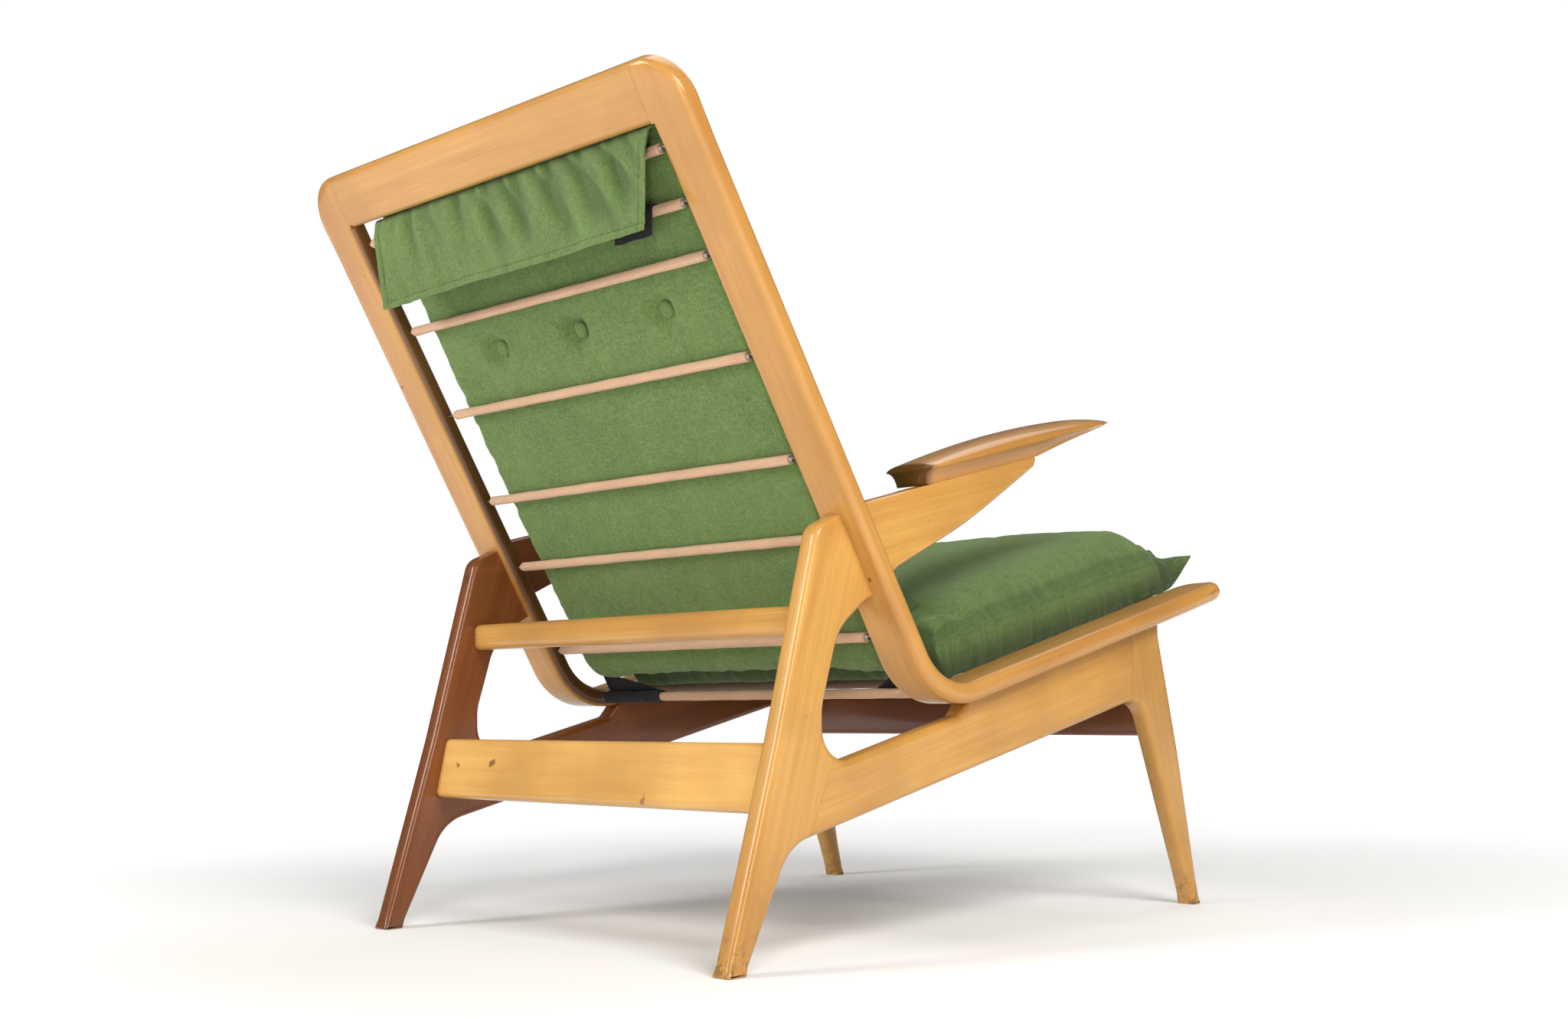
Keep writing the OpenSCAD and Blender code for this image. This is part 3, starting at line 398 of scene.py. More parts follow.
def wood_mat(name, light, mid, dark, end=None, inner=False):
    """end is where the grain starts, with dark end grain there and painted shade on that end face; inner
    paints shade on the faces turned to -X.
    """
    m, g, surface = new_material(name)
    grain, ob = g.grain(), g.place()
    along, across, through = g.split(grain)
    # broad figure: soft bands that wander along the board
    warp = g.noise(g.stretched(grain, (1.6, 9.0, 9.0)), 1.0, 2.0)
    phase = g.add(g.mul(g.add(across, g.mul(through, 0.6)), 420.0), g.mul(warp, 15.0))
    rings = g.calc("POWER", g.calc("MULTIPLY_ADD", g.sine(phase), 0.5, 0.5), 2.0)
    fibre = g.noise(g.stretched(grain, (7.0, 520.0, 520.0)), 1.0, 4.0, 0.6)
    broad = g.noise(g.stretched(grain, (2.4, 26.0, 26.0)))
    pores = g.noise(g.stretched(grain, (60.0, 2300.0, 2300.0)), 1.0, 2.0, 0.5)
    base = g.ramp(broad, [(0.3, mid), (0.52, light), (0.78, mid)])
    base = g.mix(g.mul(rings, 0.07), base, dark)
    base = g.stain(base, fibre, 0.44, 0.74, 0.24, dark)
    base = g.stain(base, pores, 0.64, 0.74, 0.35, scaled(dark, 0.5))
    # dark end grain, with painted shade, on the face where the grain starts
    if end is not None:
        base = g.mix(g.remap(along, end, end + 0.010, 0.9, 0.0), base, scaled(dark, 0.25))
    # painted shade: faces turned to -X are darkened by their normal, for the far plank's inner face beside
    # the cushion
    if inner:
        facing = g.split(g.node("NewGeometry").outputs["Normal"])[0]
        base = g.mix(g.remap(facing, -0.35, -0.85, 0.0, 0.94), base, scaled(dark, 0.2))
    # handling marks, small dark nicks, scuffs near the floor and rubbed edges
    base = g.stain(base, g.noise(ob, 2.6, 3.0, 0.6), 0.42, 0.72, 0.55, scaled(mid, 0.72))
    base = g.stain(base, g.noise(ob, 34.0, 2.0, 0.5), 0.735, 0.77, 0.75, (0.10, 0.035, 0.012))
    base = g.stain(base, g.noise(ob, 5.5, 3.0, 0.6), 0.45, 0.75, 0.42, scaled(mid, 0.62))
    low = g.ramp(g.split(ob)[2], [(0.0, (1, 1, 1)), (0.05, BLACK)])
    scuff = g.mul(low, g.rise(g.noise(ob, 95.0, 3.0, 0.7), 0.48, 0.66, 0.9))
    base = g.mix(scuff, base, (0.11, 0.045, 0.02))
    edge = g.rise(g.node("NewGeometry").outputs["Pointiness"], 0.53, 0.62)
    rub = g.mul(edge, g.rise(g.noise(ob, 48.0, 3.0, 0.7), 0.5, 0.68, 0.55))
    base = g.mix(rub, base, scaled(dark, 0.5))
    height = g.add(g.add(g.mul(fibre, 0.5), g.mul(pores, -0.35)), g.mul(g.noise(ob, 22.0), 1.2))
    g.feed(surface, {"Base Color": base, "Roughness": g.calc("MULTIPLY_ADD", g.noise(ob, 14.0), 0.16, 0.26),
                     "Specular IOR Level": 0.3, "Coat Weight": 0.5, "Coat Roughness": 0.10, "Coat IOR": 1.5,
                     "Normal": g.bump(height, 0.10, 0.0009),
                     "Coat Normal": g.bump(g.noise(ob, 16.0), 0.07, 0.0012)})
    return m


def weave_mat(name, light, mid, dark):
    """The points' attribute shade, from 0 to 1, is painted shade: it darkens the cloth in seams, creases and
    undersides.
    """
    thread = 2 * pi / 0.0023
    m, g, surface = new_material(name)
    grain, ob = g.grain(), g.place()
    along, across = g.split(grain)[:2]
    wobble = g.mul(g.noise(grain, 140.0, 2.0), 2.4)
    u, v = g.add(g.mul(along, thread), wobble), g.add(g.mul(across, thread), wobble)
    over = g.calc("GREATER_THAN", g.mul(g.sine(g.mul(u, 0.5)), g.sine(g.mul(v, 0.5))), 0.0)
    under = g.calc("SUBTRACT", 1.0, over)
    height = g.add(g.mul(g.calc("ABSOLUTE", g.sine(u)), over), g.mul(g.calc("ABSOLUTE", g.sine(v)), under))
    yarn_scales = ((60.0, 870.0, 1.0), (870.0, 60.0, 1.0))
    yarns = [g.noise(g.stretched(grain, scale), 1.0, 2.0) for scale in yarn_scales]
    heather = g.add(g.mul(yarns[0], over), g.mul(yarns[1], under))
    fleck = g.noise(ob, 620.0, 2.0, 0.7)
    nub = g.noise(ob, 240.0, 3.0, 0.7)
    tone = g.add(g.mul(heather, 0.7), g.mul(fleck, 0.3))
    tone = g.add(g.mul(tone, 0.55), g.mul(nub, 0.45))
    base = g.ramp(tone, [(0.38, dark), (0.5, mid), (0.62, light)])
    # painted shade in the weave's hollows, where the threads dip
    base = g.mix(g.mul(g.calc("SUBTRACT", 1.0, height, clamp=True), 0.55), base, scaled(dark, 0.45))
    base = g.stain(base, g.noise(ob, 9.0, 4.0, 0.6), 0.35, 0.75, 0.32, light)
    base = g.stain(base, g.noise(ob, 30.0, 3.0, 0.65), 0.45, 0.8, 0.30, dark)
    # painted shade, read from the points' shade attribute
    painted_shade_share = g.node("Attribute", attribute_name="shade").outputs["Fac"]
    base = g.mix(painted_shade_share, base, scaled(dark, 0.5))
    threads = g.bump(g.add(height, g.mul(fleck, 0.8)), 0.55, 0.0006)
    g.feed(surface, {"Base Color": base, "Roughness": 0.86, "Sheen Weight": 0.28, "Sheen Roughness": 0.45,
                     "Sheen Tint": (0.72, 0.9, 0.55),
                     "Normal": g.bump(g.noise(ob, 55.0), 0.35, 0.0022, Normal=threads)})
    return m


def sleeve_mat(name, shade=1.0):
    """shade below 1 darkens the braid: painted shade."""
    strand = 2 * pi / 0.0019
    m, g, surface = new_material(name)
    grain = g.grain()
    along, around = [g.mul(value, strand) for value in g.split(grain)[:2]]
    braid = g.add(g.sine(g.add(along, around)), g.sine(g.calc("SUBTRACT", along, around)))
    fleck = g.noise(grain, 700.0, 3.0, 0.6)
    base = g.ramp(fleck, [(0.35, (0.55, 0.32, 0.18)), (0.6, (0.74, 0.47, 0.29))])
    base = g.stain(base, g.noise(grain, 16.0, 3.0, 0.6), 0.4, 0.75, 0.45, (0.45, 0.25, 0.16))
    # painted shade: the braid is mixed towards near black
    if shade < 1:
        base = g.mix(1 - shade, base, (0.06, 0.03, 0.02))
    g.feed(surface, {"Base Color": base, "Roughness": 0.72, "Sheen Weight": 0.15,
                     "Normal": g.bump(g.add(braid, fleck), 0.45, 0.0003)})
    return m


def tape_mat():
    m, g, surface = new_material("black_tape_weave")
    ob = g.place()
    rib = g.sine(g.mul(g.split(ob)[0], 2 * pi / 0.0016))
    fleck = g.noise(ob, 600.0, 2.0, 0.6)
    base = g.ramp(fleck, [(0.35, (0.008, 0.008, 0.009)), (0.65, (0.03, 0.03, 0.033))])
    g.feed(surface, {"Base Color": base, "Roughness": 0.9, "Specular IOR Level": 0.2, "Sheen Weight": 0.05,
                     "Normal": g.bump(g.add(rib, fleck), 0.4, 0.0003)})
    return m


def steel_mat():
    m, g, surface = new_material("spring_wire_steel")
    spots = g.noise(g.place(), 260.0, 3.0, 0.6)
    base = g.ramp(spots, [(0.4, (0.50, 0.49, 0.47)), (0.68, (0.30, 0.25, 0.20))])
    rough = g.calc("MULTIPLY_ADD", spots, 0.3, 0.22)
    g.feed(surface, {"Base Color": base, "Metallic": 1.0, "Roughness": rough,
                     "Normal": g.bump(spots, 0.15, 0.0002)})
    return m


HONEY = ((0.60, 0.320, 0.076), (0.50, 0.235, 0.050), (0.28, 0.095, 0.016))
PLANK_HONEY = ((0.57, 0.292, 0.070), (0.48, 0.215, 0.046), (0.28, 0.090, 0.016))
# a lighter copy of the wood: painted light
PALE_PAINTED_LIGHT = ((0.84, 0.49, 0.145), (0.72, 0.37, 0.095), (0.40, 0.16, 0.035))
# a darker board that also carries painted shade, for the far side pieces and the rail under the seat
DEEP_AND_SHADED = ((0.23, 0.070, 0.016), (0.17, 0.045, 0.009), (0.09, 0.022, 0.005))
PAD_HONEY = ((0.55, 0.275, 0.062), (0.43, 0.190, 0.038), (0.24, 0.076, 0.012))
wood = wood_mat("varnished_honey_wood", *HONEY)
wood_bent = wood_mat("varnished_bent_plank", *PLANK_HONEY)
# this copy paints shade on the far plank's inner face
wood_plank_painted_shade = wood_mat("varnished_plank_painted_inner_shade", *PLANK_HONEY, inner=True)
wood_painted_light = wood_mat("varnished_wood_painted_light", *PALE_PAINTED_LIGHT)
wood_deep_and_shaded = wood_mat("varnished_darker_wood_painted_shade", *DEEP_AND_SHADED)
wood_pad = wood_mat("varnished_pad_wood", *PAD_HONEY, end=3.1)
wood_end = wood_mat("plain_dowel_wood", (0.78, 0.56, 0.30), (0.68, 0.45, 0.22), (0.5, 0.3, 0.13))
GREEN = ((0.185, 0.29, 0.072), (0.112, 0.19, 0.040), (0.052, 0.105, 0.020))
weave = weave_mat("heathered_green_weave", *GREEN)
# the seat's cloth is a slightly darker copy of the green weave: painted shade
seat_weave_painted_shade = weave_mat("heathered_green_seat_painted_shade", *[scaled(tone, 0.94) for tone in GREEN])
sleeve = sleeve_mat("spring_sleeve_braid")
sleeve_painted_shade = sleeve_mat("spring_sleeve_under_seat", 0.2)
tape = tape_mat()
steel = steel_mat()


# Bent planks: sections across the board, set along its bend
HALF_T = PLANK_T / 2
OUT_X = SHELL_W / 2
SIDE_R = 0.009
bend_len = BEND_R * TURN


def path_pt(s, off):
    """s runs from the tip at minus the seat's length, through the bend, to the top of the back."""
    if s <= -BEND_RUN:
        return seat_pt(-s, off)
    if s <= -BEND_RUN + bend_len:
        a = -pi / 2 - RISE + (s + BEND_RUN) / BEND_R
        return BEND_MID + (BEND_R - off) * np.array([cos(a), sin(a)])
    return back_pt(s + 2 * BEND_RUN - bend_len, off)


S_TOP = BACK_LEN - 2 * BEND_RUN + bend_len
S_CREST = S_TOP - CREST_W


def corner_edge(d, r):
    return r - sqrt(max(0, r * r - (r - d) ** 2)) if d < r else 0.0


def plank_section(s):
    d, e = s + SEAT_LEN, S_TOP - s
    tip = min(1.0, max(0.0, 1 - (d - 0.03) / 0.05))
    top = min(1.0, max(0.0, 1 - (e - 0.055) / 0.03))
    r_out = SIDE_R + (HALF_T - SIDE_R) * tip - (SIDE_R - EDGE_R) * top
    r_in = r_out if s < S_CREST else 0.0004
    x_out = corner_edge(d, TIP_OUT_R) + corner_edge(e, CREST_R)
    x_in = PLANK_W - corner_edge(d, TIP_IN_R)
    wide = x_in - x_out
    steps = 7
    share = min(1.0, 0.46 * wide / max(r_out, 1e-4))
    share_in = min(1.0, 0.46 * wide / max(r_in, 1e-4))
    us = [x_out + r_out * share * (1 - cos(pi / 2 * k / steps)) for k in range(steps + 1)]
    us += [x_in - r_in * share_in * (1 - cos(pi / 2 * k / steps)) for k in range(steps, -1, -1)]

    def inset(u):
        side = u
        if d < TIP_OUT_R and u < TIP_OUT_R:
            side = TIP_OUT_R - sqrt((TIP_OUT_R - u) ** 2 + (TIP_OUT_R - d) ** 2)
        elif e < CREST_R and u < CREST_R:
            side = CREST_R - sqrt((CREST_R - u) ** 2 + (CREST_R - e) ** 2)
        far_side = PLANK_W - u
        if d < TIP_IN_R and far_side < TIP_IN_R:
            far_side = TIP_IN_R - sqrt((TIP_IN_R - far_side) ** 2 + (TIP_IN_R - d) ** 2)
        return max(0.0, min(side, d, e)), max(0.0, far_side)

    def half(u):
        a, b = inset(u)
        h = HALF_T
        for q, r in ((a, r_out), (b, r_in)):
            if q < r:
                h = min(h, HALF_T - r + sqrt(max(0, r * r - (r - q) ** 2)))
        return h

    top_row = [(u, HALF_T + half(u)) for u in us]
    low_row = [(u, HALF_T - half(u)) for u in reversed(us)]
    return top_row + low_row


def plank_rows():
    tip = [-SEAT_LEN + HALF_T * (1 - cos(pi / 2 * k / 9)) for k in range(10)]
    tip[0] = -SEAT_LEN + 0.00002
    tip += [-SEAT_LEN + HALF_T + (TIP_IN_R + 0.05 - HALF_T) * k / 12 for k in range(1, 13)]
    seat = list(np.linspace(tip[-1], -BEND_RUN, 16)[1:])
    bend = list(np.linspace(-BEND_RUN, -BEND_RUN + bend_len, 33)[1:])
    back = list(np.linspace(bend[-1], S_CREST - 0.001, 20)[1:])
    crest = [S_CREST - 0.0002, S_CREST + 0.0002] + list(np.linspace(S_CREST + 0.002, S_TOP - CREST_R, 3))
    top = [S_TOP - EDGE_R - (CREST_R - EDGE_R) * (1 - k / 12) for k in range(1, 13)]
    edge = [S_TOP - EDGE_R * (1 - sin(pi / 2 * k / 7)) for k in range(1, 8)]
    edge[-1] = S_TOP - 0.00002
    return tip + seat + bend + back + crest + top + edge


rows, grains = [], []
for s in plank_rows():
    sec = plank_section(s)
    rows.append([(-OUT_X + u, *path_pt(s, off)) for u, off in sec])
    grains.append([(s, u, off) for u, off in sec])
plank_r = loft("plank_right", rows, sharp=50, grain_rows=grains)
plank_l = mirrored(plank_r, "plank_left", 1.0)
board(plank_r, wood_bent, "side_plank_right")
board(plank_l, wood_plank_painted_shade, "side_plank_left")


# Crest rail and the seat's front rail, as bars that end flush at the planks
def bar(name, outline, half_len, end_r=0.0):
    """outline is a closed side view; the bar runs across the chair and its ends are rounded by end_r."""
    P = np.array(outline)
    mid = P.mean(0)
    xs, sc = [], []
    for k in range(5):
        a = pi / 2 * k / 4
        xs.append(half_len - end_r * (1 - sin(a)) if end_r else half_len)
        sc.append(end_r * (1 - cos(a)))
        if not end_r:
            break
    pairs = [(-x, c) for x, c in reversed(list(zip(xs, sc)))]
    inner = [(x, 0.0) for x in np.linspace(-half_len + end_r + 0.004, half_len - end_r - 0.004, 9)]
    pairs = pairs + inner + [(x, c) for x, c in zip(xs[::-1], sc[::-1])][::-1]
    pairs.sort(key=lambda q: q[0])
    rows = []
    for x, c in pairs:
        row = []
        for p in P:
            v = p - mid
            n = np.linalg.norm(v)
            row.append((x, *(mid + v * max(0.1, (n - c) / n))))
        rows.append(row)
    return loft(name, rows, sharp=50, grain=cross_grain(len(name)))


def box_outline(place, a0, a1, off0, off1, r, steps):
    """A rounded rectangle along the seat or the back; place is seat_pt or back_pt."""
    return fillet([(*place(a, off), r) for a, off in ((a1, off0), (a1, off1), (a0, off1), (a0, off0))], steps)


crest_outline = box_outline(back_pt, BACK_LEN - CREST_W, BACK_LEN, 0, PLANK_T, EDGE_R, 8)
board(bar("crest_rail_wood", crest_outline, INNER_X), wood_bent, "crest_rail")
RAIL_SET, RAIL_D, RAIL_EDGE = 0.058, 0.040, 0.004
rail_front, rail_top = SEAT_LEN - RAIL_SET, (PLANK_T + SLEEVE_D) / 2
rail_outline = box_outline(seat_pt, rail_front - RAIL_D, rail_front, 0, rail_top, RAIL_EDGE, 5)
board(bar("seat_front_rail_wood", rail_outline, INNER_X), wood, "seat_front_rail")


STRETCHER_T, STRETCHER_END_R, END_GAP = 0.020, 0.0018, 0.0001


def stretcher(node, place, h, lean, edge, mat):
    c, s = cos(lean), sin(lean)
    signs = ((1, 1), (-1, 1), (-1, -1), (1, -1))
    pts = fillet([(i * STRETCHER_T / 2, j * h / 2, edge) for i, j in signs], 8)
    pts = [(place[0] + c * p[0] - s * p[1], place[1] + s * p[0] + c * p[1]) for p in pts]
    board(bar(node + "_wood", pts, LEG_IN - END_GAP, STRETCHER_END_R), mat, node)


stretcher("upper_stretcher", (KNEE_Y + 0.145, 0.349), 0.032, 0, 0.0085, wood)
# the lower stretcher takes the pale wood: painted light on its rear face
stretcher("lower_stretcher", (KNEE_Y + 0.196, 0.188), 0.072, radians(13.5), 0.0065, wood_painted_light)
# the front cross rail takes the deep wood: painted shade under the seat
stretcher("front_cross_rail", (KNEE_Y - 0.411, 0.2335), 0.052, 0, 0.0065, wood_deep_and_shaded)

# Side frames: one rounded board, then cut at its two joints
rear_foot_y, front_foot_y = KNEE_Y + 0.287, KNEE_Y - 0.481
head_corner = back_pt(0.250, -0.034)
head_top, head_low = back_pt(0.246, 0), back_pt(0.151, 0)
notch = np.array([KNEE_Y + 0.149, 0.196])
arch = np.array([KNEE_Y - 0.380, 0.255])
rail_dir = np.array([cos(radians(13)), -sin(radians(13))])
rear_front = np.array([rear_foot_y - 0.025, 0])
crotch = meet(arch, rail_dir, rear_front, (-0.526, 1))
rail_start = seat_pt(BEND_RUN + 0.006, 0)
front_joint = 0.364
front_head = seat_pt((front_joint + 0.052) / cos(RISE), 0)
rear_mid = (head_corner + [rear_foot_y, 0]) / 2 - [0.004, 0]
front_mid = (front_head + [front_foot_y, 0]) / 2 - [0.004, 0]
waist = [notch + (head_low - notch) * np.array(k) for k in ((0.01, 0.35), (0.35, 0.79))]
outline = fillet([(*rear_front, 0.002), (rear_foot_y, 0, 0.002), (*rear_mid, 0.7), (*head_corner, 0.022),
                  (*head_top, 0), (*head_low, 0), (*waist[1], 0.06), (*waist[0], 0.06), (*notch, 0.032),
                  (*(rail_start + [0.018, -0.018]), 0.010), (*rail_start, 0), (*front_head, 0),
                  (*front_mid, 0.7), (front_foot_y, 0, 0.002), (front_foot_y + 0.014, 0, 0.002),
                  (*arch, 0.034), (*crotch, 0.058)], 14)
outline = resample(outline, 0.009)


SHARP_R = 0.0003


def line_gap(p, a, b):
    a, b = np.array(a), np.array(b)
    t = float(np.clip((p - a) @ (b - a) / ((b - a) @ (b - a)), 0, 1))
    return float(np.linalg.norm(p - a - (b - a) * t))


def edge_radii(points, base, flats):
    """base is a number or a function of the point; flats are lines, (start, end, radius), of sharper edge."""
    r = []
    for p in points:
        v = base(p) if callable(base) else base
        for a, b, s in flats:
            v = min(v, s + 0.5 * max(0.0, line_gap(np.array(p), a, b) - 0.0004))
        r.append(max(SHARP_R, v))
    return r


def leg_radius(p):
    if p[0] < KNEE_Y - 0.36:
        return min(0.008, 0.0056 + 0.06 * p[1])
    return 0.0068


radii = edge_radii(outline, leg_radius, [(head_top, head_low, SHARP_R), (rail_start, front_head, SHARP_R),
                                         (rear_front, (rear_foot_y, 0), 0.0025),
                                         ((front_foot_y, 0), (front_foot_y + 0.014, 0), 0.0025)])
verts, faces = slab_data(outline, radii, -LEG_OUT, -LEG_IN)
whole = make("side_frame_whole", verts, faces, sharp=50)
joint_top, joint_low = notch + np.array([-0.016, 0.016]), crotch + np.array([-0.0145, -0.0145])
jd = joint_low - joint_top
jn = Vector((0, jd[1], -jd[0])).normalized()
if jn.y < 0:
    jn = -jn
SEAM = 0.00014
rear = copy_of(whole, "rear_leg_right_wood")
cut(rear, (0, joint_top[0] + SEAM * jn.y, joint_top[1] + SEAM * jn.z), -jn)
mid = copy_of(whole, "side_rail_right_wood")
cut(mid, (0, joint_top[0] - SEAM * jn.y, joint_top[1] - SEAM * jn.z), jn)
cut(mid, (0, KNEE_Y - front_joint + SEAM, 0), (0, -1, 0))
front = copy_of(whole, "front_leg_right_wood")
cut(front, (0, KNEE_Y - front_joint - SEAM, 0), (0, 1, 0))
bpy.data.objects.remove(whole)
leg_dir = head_corner - np.array([rear_foot_y, 0])
set_grain(rear, straight_grain(leg_dir, 2.0))
set_grain(mid, straight_grain(rail_dir, 3.0))
set_grain(front, straight_grain((0.065, 0.343), 4.0))
# the far rear leg and far side rail take the deep wood: a darker board with painted shade
side_boards = ((rear, "rear_leg", wood_deep_and_shaded), (mid, "side_rail", wood_deep_and_shaded), (front, "front_leg", wood))
for ob, base, twin_wood in side_boards:
    board(mirrored(ob, base + "_left_wood", 1.0), twin_wood, base + "_left")
    board(ob, wood, base + "_right")

# Armrests
ARM_RISE = radians(12.8)
arm_start = back_pt(0.247, PLANK_T)
arm_dir = np.array([-cos(ARM_RISE), sin(ARM_RISE)])
arm_up = np.array([sin(ARM_RISE), cos(ARM_RISE)])
arm_low = back_pt(0.166, PLANK_T)
arm_tip = arm_start + arm_dir * 0.284
chin = arm_tip - arm_dir * 0.0055 - arm_up * 0.011
sag = (chin + arm_low) / 2 - arm_up * 0.007
corners = [(*arm_start, 0), (*arm_tip, 0.003), (*chin, 0.003), (*sag, 0.7), (*arm_low, 0)]
outline = resample(fillet(corners, 10), 0.007)
pad_seat = (arm_start + arm_dir * 0.072, arm_tip, SHARP_R)
radii = edge_radii(outline, 0.0045, [(arm_start, arm_low, SHARP_R), pad_seat])
verts, faces = slab_data(outline, radii, -ARM_X - BRACKET_T / 2, -ARM_X + BRACKET_T / 2)
bracket = make("arm_bracket_right_wood", verts, faces, straight_grain(arm_dir, 5.0), sharp=50)
# the far bracket takes the deep wood: painted shade where the cushion shades it
board(mirrored(bracket, "arm_bracket_left_wood", 1.0), wood_deep_and_shaded, "arm_bracket_left")
board(bracket, wood, "arm_bracket_right")

PAD_L, PAD_W, PAD_SET, KEEL_W = 0.345, 0.084, 0.099, 0.050
CROWN, EDGE, KEEL = 0.021, 0.007, 0.014
PAD_X = ARM_X + BRACKET_T / 2 - KEEL_W / 2
TIP_START, LIFT_START, PEAK = 0.74, 0.54, 0.48


def pad_round(t):
    return 1.0 if t < TIP_START else max(0.03, sqrt(max(0.0, 1 - ((t - TIP_START) / (1 - TIP_START)) ** 2)))


def pad_section(t, n=12):
    """Half sections from the keel out through the cove to the rim, then over the crown."""
    pr = pad_round(t)
    half = PAD_W / 2 * pr * (1 - 0.135 * ((t - 0.5) / 0.5) ** 2)
    low = 0.0 if t < LIFT_START else KEEL * sin(pi / 2 * (t - LIFT_START) / (1 - LIFT_START))
    rim = KEEL + EDGE * pr
    top = rim + (CROWN - EDGE) * pr * (1 - 0.8 * (2 * (t - PEAK)) ** 2)
    side = KEEL + (rim - KEEL) * 0.5
    keel = min(KEEL_W / 2, half * 2 / 3)
    turns = [pi / 2 * i / n for i in range(n)]
    cove = [(keel + (half - keel) * (1 - cos(a)), low + (side - low) * sin(a)) for a in turns]
    over = [(half * cos(a) ** 0.85, side + (top - side) * sin(a)) for a in turns]
    one_side = cove + over
    return one_side + [(0.0, top)] + [(-x, z) for x, z in reversed(one_side)]


ts = [0, 0.004, 0.012] + list(np.linspace(0.03, TIP_START, 26))
ts += [TIP_START + (1 - TIP_START) * sin(pi / 2 * k / 24) for k in range(1, 25)]
# The pad's first sections are drawn in about MIDDLE; GRAIN_AT is its grain's first place
SQUEEZE, MIDDLE, GRAIN_AT = (0.0022, 0.0006, 0.0), 0.016, (3.1, 0.4)
rows, grains = [], []
for i, t in enumerate(ts):
    sec = pad_section(t)
    q = 1 - (SQUEEZE[i] if i < 3 else 0.0) / 0.02
    row = []
    for x, z in sec:
        p = arm_start + arm_dir * (PAD_SET + PAD_L * t) + arm_up * (MIDDLE + (z - MIDDLE) * q)
        row.append((-PAD_X + x * q, p[0], p[1]))
    rows.append(row)
    grains.append([(PAD_L * t + GRAIN_AT[0], x + GRAIN_AT[1], z) for x, z in sec])
pad = loft("arm_pad_right_wood", rows, sharp=60, grain_rows=grains)
board(mirrored(pad, "arm_pad_left_wood"), wood_pad, "arm_pad_left")
board(pad, wood_pad, "arm_pad_right")

# Springs: woven sleeves over steel coils that end in hooks
top_z = BACK_LEN - CREST_W - 0.027
spring_places = [back_pt(top_z * k, HALF_T) for k in (1, 0.911, 0.823, 0.65, 0.469, 0.327, 0.143)]
low_a = radians(7)
spring_places.append(BEND_MID + (BEND_R - HALF_T) * np.array([sin(low_a), -cos(low_a)]))
seat_places = [seat_pt(0.106 + i * 0.077, HALF_T) for i in range(5)]
rng = np.random.default_rng(7)


def sleeve_piece(name, place, node, right_end, left_end):
    n, steps = 20, 150
    r0 = SLEEVE_D / 2
    x0, x1 = -INNER_X + right_end, INNER_X - left_end
    ph = rng.uniform(0, 6, 4)
    rows, grains = [], []
    for k in range(steps + 1):
        t = k / steps
        x = x0 + (x1 - x0) * t
        wav = 0.00009 * sin(x * 61 + ph[0]) + 0.00006 * sin(x * 143 + ph[1])
        row, gr = [], []
        for i in range(n):
            a = 2 * pi * i / n
            r = r0 - 0.0001 + wav + 0.00012 * sin(3 * a + x * 90 + ph[2])
            row.append((x, place[0] + r * cos(a), place[1] + r * sin(a)))
            gr.append((x + ph[3], r0 * a, 0.0))
        rows.append(row)
        grains.append(gr)
    turns = [2 * pi * i / n for i in range(n)]

    # turned-in ends
    def lip(x, side):
        out = []
        for dx, r in ((0.0004, r0 - 0.0007), (0.0003, r0 - 0.0016), (-0.006, r0 - 0.0018)):
            out.append([(x + side * dx, place[0] + r * cos(a), place[1] + r * sin(a)) for a in turns])
        return out

    l0, l1 = lip(x0, -1), lip(x1, 1)
    grow0 = [[(x0, r0 * 2 * pi * i / n, 0) for i in range(n)]] * 3
    rows = l0[::-1] + rows + l1
    grains = grow0 + grains + grow0
    ob = loft(name, rows, sharp=70, grain_rows=grains, closed_ends=False)
    # the seat's sleeves, under the cushion, get painted shade
    attach(ob, sleeve_painted_shade if node.startswith("seat") else sleeve, "chair_frame", "spring_sleeve", node)


def tube(points, r, n=8):
    """A thin wire along points; gives vertices and faces."""
    P = np.array(points)
    T = np.gradient(P, axis=0)
    T /= np.linalg.norm(T, axis=1, keepdims=True)
    rows = []
    nrm = np.cross(T[0], [1.0, 0.02, 0.03])
    nrm /= np.linalg.norm(nrm)
    for p, t in zip(P, T):
        nrm = nrm - t * (nrm @ t)
        nrm /= np.linalg.norm(nrm)
        b = np.cross(t, nrm)
        rows.append([p + r * (cos(2 * pi * i / n) * nrm + sin(2 * pi * i / n) * b) for i in range(n)])
    verts = [v for row in rows for v in row]
    return verts, grid_faces(len(rows), n) + end_faces(len(rows), n)


def spring_ends(name, places, node):
    """The coil's last turns inside each sleeve end, and a hook whose end sits in the plank."""
    r, wire, pitch, inside, hook = 0.0034, 0.0007, 0.00155, 0.010, 0.0035
    turns = (inside + 0.004) / pitch
    allv, allf = [], []
    for place, ends in places:
        for side, gap in zip((-1, 1), ends):
            pts = []
            for k in range(int(turns * 14) + 1):
                a = 2 * pi * k / 14
                x = INNER_X - gap - inside + pitch * k / 14
                pts.append((side * x, place[0] + r * cos(a), place[1] + r * sin(a)))
            a_end, x_end = a, x
            for k in range(1, 9):
                t = k / 8
                rr = r * (1 - t) ** 1.2
                a = a_end + t * pi * 0.7
                pts.append((side * (x_end + hook * t), place[0] + rr * cos(a), place[1] + rr * sin(a)))
            for k in range(1, 8):
                x = x_end + hook + (INNER_X + 0.008 - x_end - hook) * k / 7
                pts.append((side * x, place[0], place[1]))
            v, f = tube(pts, wire)
            base = len(allv)
            allv += v
            allf += [[q + base for q in face] for face in f]
    attach(make(name, allv, allf, sharp=60), steel, "chair_frame", "spring_steel", node)


